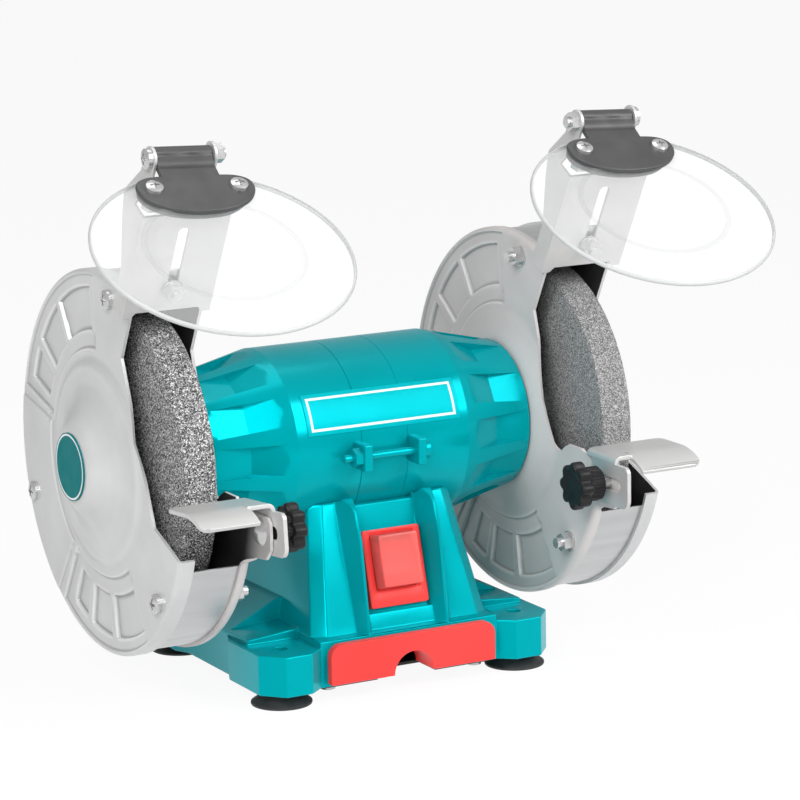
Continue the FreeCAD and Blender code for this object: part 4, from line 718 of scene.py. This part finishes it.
# Shield clamps: a rubber strap folded round the pivot, with two wings that hold the pane.
# shape: the right half of the upper wing's outline beyond the strap, from its back to its front.
clampSize = {
    "rollLong": 27.5, "rollRadius": 4.5, "wing": 2.5, "wingBack": 13.2, "wingFront": 38.0,
    "shape": ((21.2, -13.7), (27.2, -16.7), (28.2, -21.2), (26.7, -27.0), (22.56, -31.6), (15.51, -35.8),
        (7.896, -37.5)), "curl": 0.7, "crown": 0.3, "lowerShare": 0.93, "strapBack": 0.5, "strapLap": 6,
    "strapCurl": 0.5, "strapLift": 0.05, "crease": 0.5, "creaseAt": 140, "creaseWide": 0.25, "ripple": 0.5,
    "lip": 3.6, "lipWide": 0.4, "turns": 48, "rows": 40}

def buildClamps(c, s):
    r, back, thin, turns = c["rollLong"] / 2, c["wingBack"], s["top"], c["turns"]
    wing = [(-r, -back), (r, -back), *c["shape"], (0, -c["wingFront"])]
    wing += [(-x, y) for x, y in reversed(c["shape"])]
    loop = smoothLoop(wing, 180, 20)[::-1]
    strap = boxLoop((-r, c["strapBack"]), (r, -back - c["strapLap"]), 120, 3)[::-1]
    under = thin - s["thick"]
    slabs = [slabGrid(loop, thin, 0.0, c["curl"], c["crown"]),
             slabGrid(c["lowerShare"] * loop, under - c["wing"], under, c["curl"]),
             slabGrid(strap, thin, c["strapLift"], c["strapCurl"])]
    # roll: a tube of rubber with a shallow crease along its front, which runs out forward into a lip
    bend = np.linspace(0, 2 * np.pi, turns, endpoint=False)
    along = np.linspace(-r, r, c["rows"])[:, None]
    crease = c["crease"] * np.exp(-((bend - np.radians(c["creaseAt"])) / c["creaseWide"]) ** 2)
    crease = crease * (1 + c["ripple"] * np.sin(along * c["ripple"]))
    far = c["rollRadius"] - crease + c["lip"] * np.exp(-((bend - np.pi) / c["lipWide"]) ** 2)
    roll = np.stack([np.repeat(along, turns, 1), far * np.cos(bend), far * np.sin(bend)], -1)
    # the left end is flat and the right end slightly coned
    poles = np.repeat([[[-r, 0.0, 0.0]], [[r, 0.0, 0.0]]], turns, 1)
    slabs.append(np.concatenate([poles[:1], roll[:-1], poles[1:]]))
    for side in sides:
        grids = [(hung(side, grid), True, 0) for grid in slabs]
        addPiece(side + "Clamp", grids, side + "_shield", ("strapRubber",),
                 [side + "_shield_clamp"])
    print("clamps folded")

buildClamps(clampSize, shieldSize)

# Knobs: a lobed grip with rounded faces and a finely ribbed collar; profiles are (along, radius)
knobSize = {
    "lobes": 8, "grip": 11.5, "lobe": 2.1, "lobeFrom": (7.5, 9.5), "lobePower": 1.4, "gripLong": 6.5,
    "curl": 1.6, "face": ((0.9, 0.0), (0.9, 5.2), (0.7, 6.2), (0.25, 7.2)), "collar": 8.2, "long": 14.5,
    "step": 0.6, "slope": 0.5, "bore": 3.2, "ribs": 36, "rib": 0.22, "ribFrom": 0.4, "ribTo": 0.5,
    "turns": 288}

def buildKnobs(k):
    grip, curl, end, seat, neck = k["grip"], k["curl"], k["gripLong"], k["long"], k["collar"]
    # profile from the outer face to the seat; the lobes fade out towards the face and collar
    step = k["step"]
    collar = [(end, neck + step), (end + k["slope"], neck), (seat - step, neck), (seat, neck - step),
              (seat, k["bore"])]
    profile = np.concatenate([k["face"], arcRows((curl, grip - curl), curl, 180, 90, 7),
                              arcRows((end - curl, grip - curl), curl, 90, 0, 7), collar])

    def swell(along, far, a):
        lobes = 0.5 - 0.5 * np.cos(k["lobes"] * a)
        lobed = far - k["lobe"] * ease(far, *k["lobeFrom"]) * lobes ** k["lobePower"]
        ribbed = (along > end + k["ribFrom"]) * (along < seat - k["ribTo"])
        return lobed + k["rib"] * np.cos(k["ribs"] * a) * ribbed

    knob = spun(profile, k["turns"], "x", (-seat / 2, 0, 0), swell)
    for side, way in sides.items():
        grid = knob * (way, 1, 1) + np.array(centreOf(side + "_knob"))
        addPiece(side + "KnobGrip", [(grid, True, 0)], side + "_knob", ("blackPlastic",),
                 [side + "_knob"], sharp=50)
    print("knobs moulded")

buildKnobs(knobSize)

# Switch: a bezel with a window and a hollow body behind it, a drum-shaped rocker and a clear red cap.
# Sizes are across, depth (forward is negative) and height on the inclined front.
# brim: pulled in from the plate's outline, depth; sill: out from the window, depth
switchSize = {
    "spot": (0.0, -53.0, 56.4), "tilt": 15.3, "plate": (15.5, 18.5), "deep": 4.0, "window": (11.2, 13.2),
    "brim": ((0.0, 0.6), (0.15, 0.2), (0.6, 0.0)),
    "sill": ((1.0, 0.0), (0.7, 0.15), (0.5, 0.9), (0.0, 0.9), (0.0, 1.5)), "lift": 3.0, "body": (13.5, 16.5),
    "back": 18.0, "wall": 1.1, "wallFrom": 2.4, "floor": 1.5, "axle": 8.0, "drum": 12.2, "drumHalf": 9.6,
    "drumBack": 3.0, "off": 8.0, "dish": 1.3, "crest": 0.6, "drumCurl": 0.6, "capGap": 0.2, "capFoot": 0.8,
    "capHigh": 7.2, "capCurl": 0.9, "capDraft": 0.5, "capFace": 2,
    "capRings": (1.0, 0.75, 0.5, 0.25, 0.0001), "pole": 0.01, "turns": 160}

def inclined(points, v, turn=0.0):
    # local points turned about the rocker's axle, then leaned back and carried to the front of the pedestal
    x, y, z = np.moveaxis(points, -1, 0)
    for angle, axle in ((turn, v["axle"]), (-v["tilt"], 0.0)):
        y, z = turned(y - axle, z, angle)
        y = y + axle
    return np.stack([x, y, z], -1) + np.array(v["spot"])

def boxRings(rows, count, times):
    # rings of rounded rectangles: each row is (half across, half high, middle height, depth)
    rings = []
    for across, high, middle, depth in rows:
        ring = boxLoop((-across, -high), (across, high), count, times)
        rings.append(np.column_stack([ring[:, 0], np.full(count, depth), ring[:, 1] + middle]))
    return np.stack(rings)

def buildSwitch(v):
    (px, pz), (wx, wz), (bx, bz), up = v["plate"], v["window"], v["body"], v["lift"]
    deep, back, floor, pole = v["deep"], v["back"], v["back"] - v["floor"], (v["pole"], v["pole"], 0)
    inner = (bx - v["wall"], bz - v["wall"], 0.0)
    rows = [(bx, bz, 0, deep), (px, pz, 0, deep)]
    rows += [(px - pull, pz - pull, 0, depth) for pull, depth in v["brim"]]
    rows += [(wx + out, wz + out, up, depth) for out, depth in v["sill"]]
    rows += [(*inner, v["wallFrom"]), (*inner, floor), (*pole, floor), (*pole, back), (bx, bz, 0, back),
             (bx, bz, 0, deep)]
    bezel = inclined(boxRings(rows, v["turns"], 2), v)
    addPiece("switchBezel", [(bezel, True, 0)], "frame", ("redPlastic",), ["switch_frame"])

    # rocker: drum section with a flat back and a shallow dish across the front
    drum = v["drum"]
    reach = np.pi - math.acos(v["drumBack"] / drum)
    a = np.linspace(-reach, reach, 60)
    depth, high = -drum * np.cos(a), drum * np.sin(a)
    depth = np.maximum(depth, v["crest"] - drum + v["dish"] * (1 - np.abs(high) / drum))
    slab = slabGrid(np.column_stack([depth + v["axle"], high]), -v["drumHalf"], v["drumHalf"], v["drumCurl"])
    rocker = inclined(slab[..., [2, 0, 1]], v, -v["off"])
    addPiece("switchRocker", [(rocker, True, 0)], "rocker", ("rockerRed",), ["switch_rocker"])

    # cap: drafted walls, a rounded edge and a flat face
    bend = np.radians(np.linspace(0, 90, 6))
    cx, cz, curl, front = wx - v["capGap"], wz - v["capGap"], v["capCurl"], -v["capHigh"]
    pulls = v["capDraft"] + curl * (1 - np.cos(bend))
    rows = [(cx, cz, up, v["capFoot"])]
    rows += [(cx - pull, cz - pull, up, front + curl * (1 - math.sin(b))) for pull, b in zip(pulls, bend)]
    rows += [((cx - v["capFace"]) * k, (cz - v["capFace"]) * k, up, front) for k in v["capRings"]]
    cap = inclined(boxRings(rows, v["turns"], 3), v)
    addPiece("switchCap", [(cap, True, 0)], "frame", ("redCover",), ["switch_boot"])
    print("switch set")

buildSwitch(switchSize)

# Motor end housings: barrel and cone with twelve flat-bottomed flutes, tie lugs beside the seam.
# parts: shares of half a flute's span where the floor ends and the land begins
housingSize = {
    "seam": 12.2, "barrel": 45.3, "barrelFrom": 16, "shoulder": 45.65, "coneEnd": 84.4, "coneRadius": 36.4,
    "flutes": 12, "parts": (0.45, 0.55), "fluteHalf": 7.25, "fluteStart": 50.0, "floorAt": 66.0,
    "floor": 36.2, "chamfer": 0.4, "spigot": 30.0, "spigotEnd": 90.9, "bore": 14.0,
    "liner": ((88.5, 14.0), (88.5, 27.0), (81.0, 33.0), (66.0, 33.0), (48.0, 41.5), (12.2, 41.5)),
    "edge": (0.5, 28), "sharp": 9,
    "lug": {"angles": (-1.5, 181.5), "long": 4.4, "radius": (43.5, 55.9), "half": 6.3, "curl": 0.6}}

def fluted(h, x):
    # outline at each x: columns run over the floor, up the wall and across the land of every flute
    step = 360.0 / h["flutes"]
    ends, land = h["parts"]
    spans = ((0, ends, 5), (ends, land, 4), (land, 1, 6))
    side = np.concatenate([[0]] + [np.linspace(*span)[1:] for span in spans])
    u = np.concatenate([-side[:0:-1], side[:-1]])
    a, half = np.abs(u)[None], h["fluteHalf"]
    cone = (h["shoulder"], h["coneEnd"]), (h["barrel"], h["coneRadius"])
    radius = np.interp(x, *cone)[:, None]
    first = np.interp(h["fluteStart"], *cone)
    bed = np.interp(x, (h["fluteStart"], h["floorAt"]), (first, h["floor"]))[:, None]
    bed = np.minimum(np.where(x[:, None] < h["fluteStart"], radius, bed), radius)
    top = np.sqrt(radius ** 2 - half ** 2)
    brim = np.arcsin(half / radius)
    # floor: flat at the bed's distance; wall: at the flute's half width; land: on the cone
    floorAcross = np.minimum(a / ends, 1) * half + 0 * radius
    floorHigh = np.minimum(bed, np.sqrt(radius ** 2 - floorAcross ** 2))
    low = np.minimum(bed, top)
    wallHigh = low + (top - low) * np.clip((a - ends) / (land - ends), 0, 1)
    turn = brim + (np.radians(step / 2) - brim) * np.clip((a - land) / (1 - land), 0, 1)
    across = np.where(a <= ends, floorAcross, np.where(a <= land, half, radius * np.sin(turn)))
    high = np.where(a <= ends, floorHigh, np.where(a <= land, wallHigh, radius * np.cos(turn)))
    across = across * np.sign(u)
    rings = [np.stack(turned(-high, across, -step * k), -1) for k in range(h["flutes"])]
    return np.concatenate(rings, axis=1)

def buildHousings(h):
    seam, start, bed, end, chamfer = h["seam"], h["fluteStart"], h["floorAt"], h["coneEnd"], h["chamfer"]
    x = np.concatenate([[seam, seam + chamfer], np.linspace(h["barrelFrom"], h["shoulder"], 5),
                        np.linspace(h["shoulder"], start, 4)[1:], np.linspace(start, bed, 15)[1:],
                        np.linspace(bed, end, 10)[1:]])
    outer = fluted(h, x)
    outer[0] *= 1 - chamfer / h["barrel"]
    unit = outer[-1] / np.hypot(*outer[-1].T)[:, None]
    # beyond the cone: in to the spigot, along it, through the bore and back along the liner to the seam
    spigot, tip = h["spigot"], h["spigotEnd"]
    rings = ((end, spigot), (tip - chamfer, spigot), (tip, spigot - chamfer), (tip, h["bore"])) + h["liner"]
    x = np.concatenate([x, [end], [at for at, _ in rings], [seam]])
    inner = [(outer[-1] + unit * spigot) / 2] + [unit * radius for _, radius in rings] + [outer[0]]
    y, z = np.moveaxis(np.concatenate([outer, np.stack(inner)]), -1, 0)
    lug = h["lug"]
    near, far = lug["radius"]
    outline = boxLoop((near, -lug["half"]), (far, lug["half"]), 120, 4)
    r, t, level = np.moveaxis(slabGrid(outline, seam, seam + lug["long"], lug["curl"]), -1, 0)
    shells = [(np.repeat(x[:, None], y.shape[1], axis=1), y, z)]
    shells += [(level, *turned(-r, t, -angle)) for angle in lug["angles"]]
    for side, way in sides.items():
        grids = [(np.stack([way * along, y, z + shaftHeight], -1), True, 0) for along, y, z in shells]
        piece = addPiece(side + "Housing", grids, "frame", ("tealPaint",),
                         [side + "_end_housing"], sharp=h["sharp"])
        softenEdges(piece, *h["edge"], keepSharp=True)
    print("housings cast")

buildHousings(housingSize)

# Wheels: discs with worn corners, their skin roughened by seeded grit
wheelSize = {
    "radius": 75.0, "wide": 16.0, "bore": 6.35, "corner": 1.1, "skin": 2, "turns": 480, "seed": 7,
    "left": {"grit": 0.16, "look": "coarseGrit", "slot": "coarse_abrasive"},
    "right": {"grit": 0.08, "look": "fineGrit", "slot": "fine_abrasive"}}

def buildWheels(w):
    chance = np.random.default_rng(w["seed"])
    half, r, c, bore = w["wide"] / 2, w["radius"], w["corner"], w["bore"]
    face = np.linspace(bore, r - c, 12)
    profile = np.concatenate([
        np.column_stack([np.full(12, -half), face]), arcRows((-half + c, r - c), c, 180, 90, 5)[1:],
        np.column_stack([np.linspace(-half + c, half - c, 30)[1:-1], np.full(28, r)]),
        arcRows((half - c, r - c), c, 90, 0, 5)[:-1], np.column_stack([np.full(12, half), face[::-1]]),
        [(half, bore), (-half, bore)]])
    for side, way in sides.items():
        rough = chance.normal(0, w[side]["grit"], (len(profile), w["turns"]))

        def swell(along, far, a):
            return far + np.where(far > r - w["skin"], rough, 0)

        grid = spun(profile, w["turns"], "x", (0, 0, 0), swell) * (way, 1, 1)
        grid = grid + np.array(centreOf(side + "_wheel"))
        addPiece(side + "Stone", [(grid, True, 0)], "rotor", (w[side]["look"],),
                 [side + "_wheel"])
    print("wheels dressed")

buildWheels(wheelSize)

# Feet: rubber cups with a thin flared brim; the profile is (height, radius)
footSize = {
    "spots": (63.0, 55.4), "turns": 64,
    "profile": ((0, 3.3), (0, 5.6), (1.0, 6.2), (1.0, 11.0), (0.0, 11.6), (0.0, 14.3), (0.5, 14.5),
        (1.1, 14.4), (1.7, 13.6), (2.6, 12.3), (3.6, 11.2), (4.6, 10.3), (5.6, 9.8), (6.8, 9.6), (6.8, 5.4),
        (9.7, 5.4), (9.7, 3.3))}

def buildFeet(f):
    profile = np.array(f["profile"] + f["profile"][:1], float)
    x, y = f["spots"]
    spots = [(across * x, along * y, 0) for across in (-1, 1) for along in (-1, 1)]
    grids = [(spun(profile, f["turns"], "z", spot), True, 0) for spot in spots]
    addPiece("rubberFeet", grids, "frame", ("blackRubber",), ["feet"])
    print("feet set")

buildFeet(footSize)

# Which finish each carried-over node wears
wears = {
    "tealPaint": ("base", "stator_core", "tie_screws") + both("end_housing"),
    "redPlastic": ("front_panel", "switch_frame", "switch_rocker"),
    "redCover": ("switch_boot",),
    "guardPaint": both("guard_cover"),
    "platePaint": both("guard_plate"),
    "bandZinc": both("guard_band"),
    "zincSheet": both("spark_deflector") + both("tool_rest") + ("capacitor_strap",),
    "brightZinc": both("pivot_bolt") + both("shield_screws") + ( "guard_screws", "guard_nuts",
        "guard_mount_screws", "guard_spacers", "deflector_bolts", "rest_bolts", "motor_foot_screws",
        "bottom_cover_screws"),
    "machinedSteel": ("shaft", "inner_flanges", "outer_flanges", "wheel_nuts", "bearing_balls",
        "bearing_inner_races", "bearing_outer_races"),
    "blackPlastic": both("knob") + both("shield_clamp") + ("cable_gland", "terminal_block"),
    "blackPaint": ("bottom_cover",),
    "blackRubber": ("feet",),
    "clearPane": both("eye_shield"),
    "coarseGrit": ("left_wheel",),
    "fineGrit": ("right_wheel",),
    "copperWire": ("stator_windings",),
    "rotorAlloy": ("rotor_rings",),
    "cageBrass": ("bearing_cages",),
    "coreSteel": ("rotor_core",),
    "capPlastic": ("run_capacitor",),
    "labelFilm": ("front_label",),
    "badgeFilm": ("hub_badges",)}

for look, names in wears.items():
    for name in names:
        nodes[name].data.materials.clear()
        nodes[name].data.materials.append(finish[look])
bare = sorted(set(nodes) - {name for names in wears.values() for name in names})
print("nodes without a finish:", bare)

# Rounded edges on carried-over castings, mouldings and bent sheets: width, turn and yielding of softenEdges
edgeRounds = {
    ("base",): (0.55, 25, False), ("front_panel",): (0.7, 30, True), ("stator_core",): (0.3, 40, True),
    both("tool_rest"): (0.28, 35, False), both("spark_deflector"): (0.3, 35, False),
    both("guard_band"): (0.2, 35, True)}

for names, (width, turn, yielding) in edgeRounds.items():
    for name in names:
        nodes[name].modifiers.new("weld", "WELD").merge_threshold = mergeWithin["weld"]
        softenEdges(nodes[name], width, turn, yielding=yielding)
print("edges rounded:", sum(len(names) for names in edgeRounds))
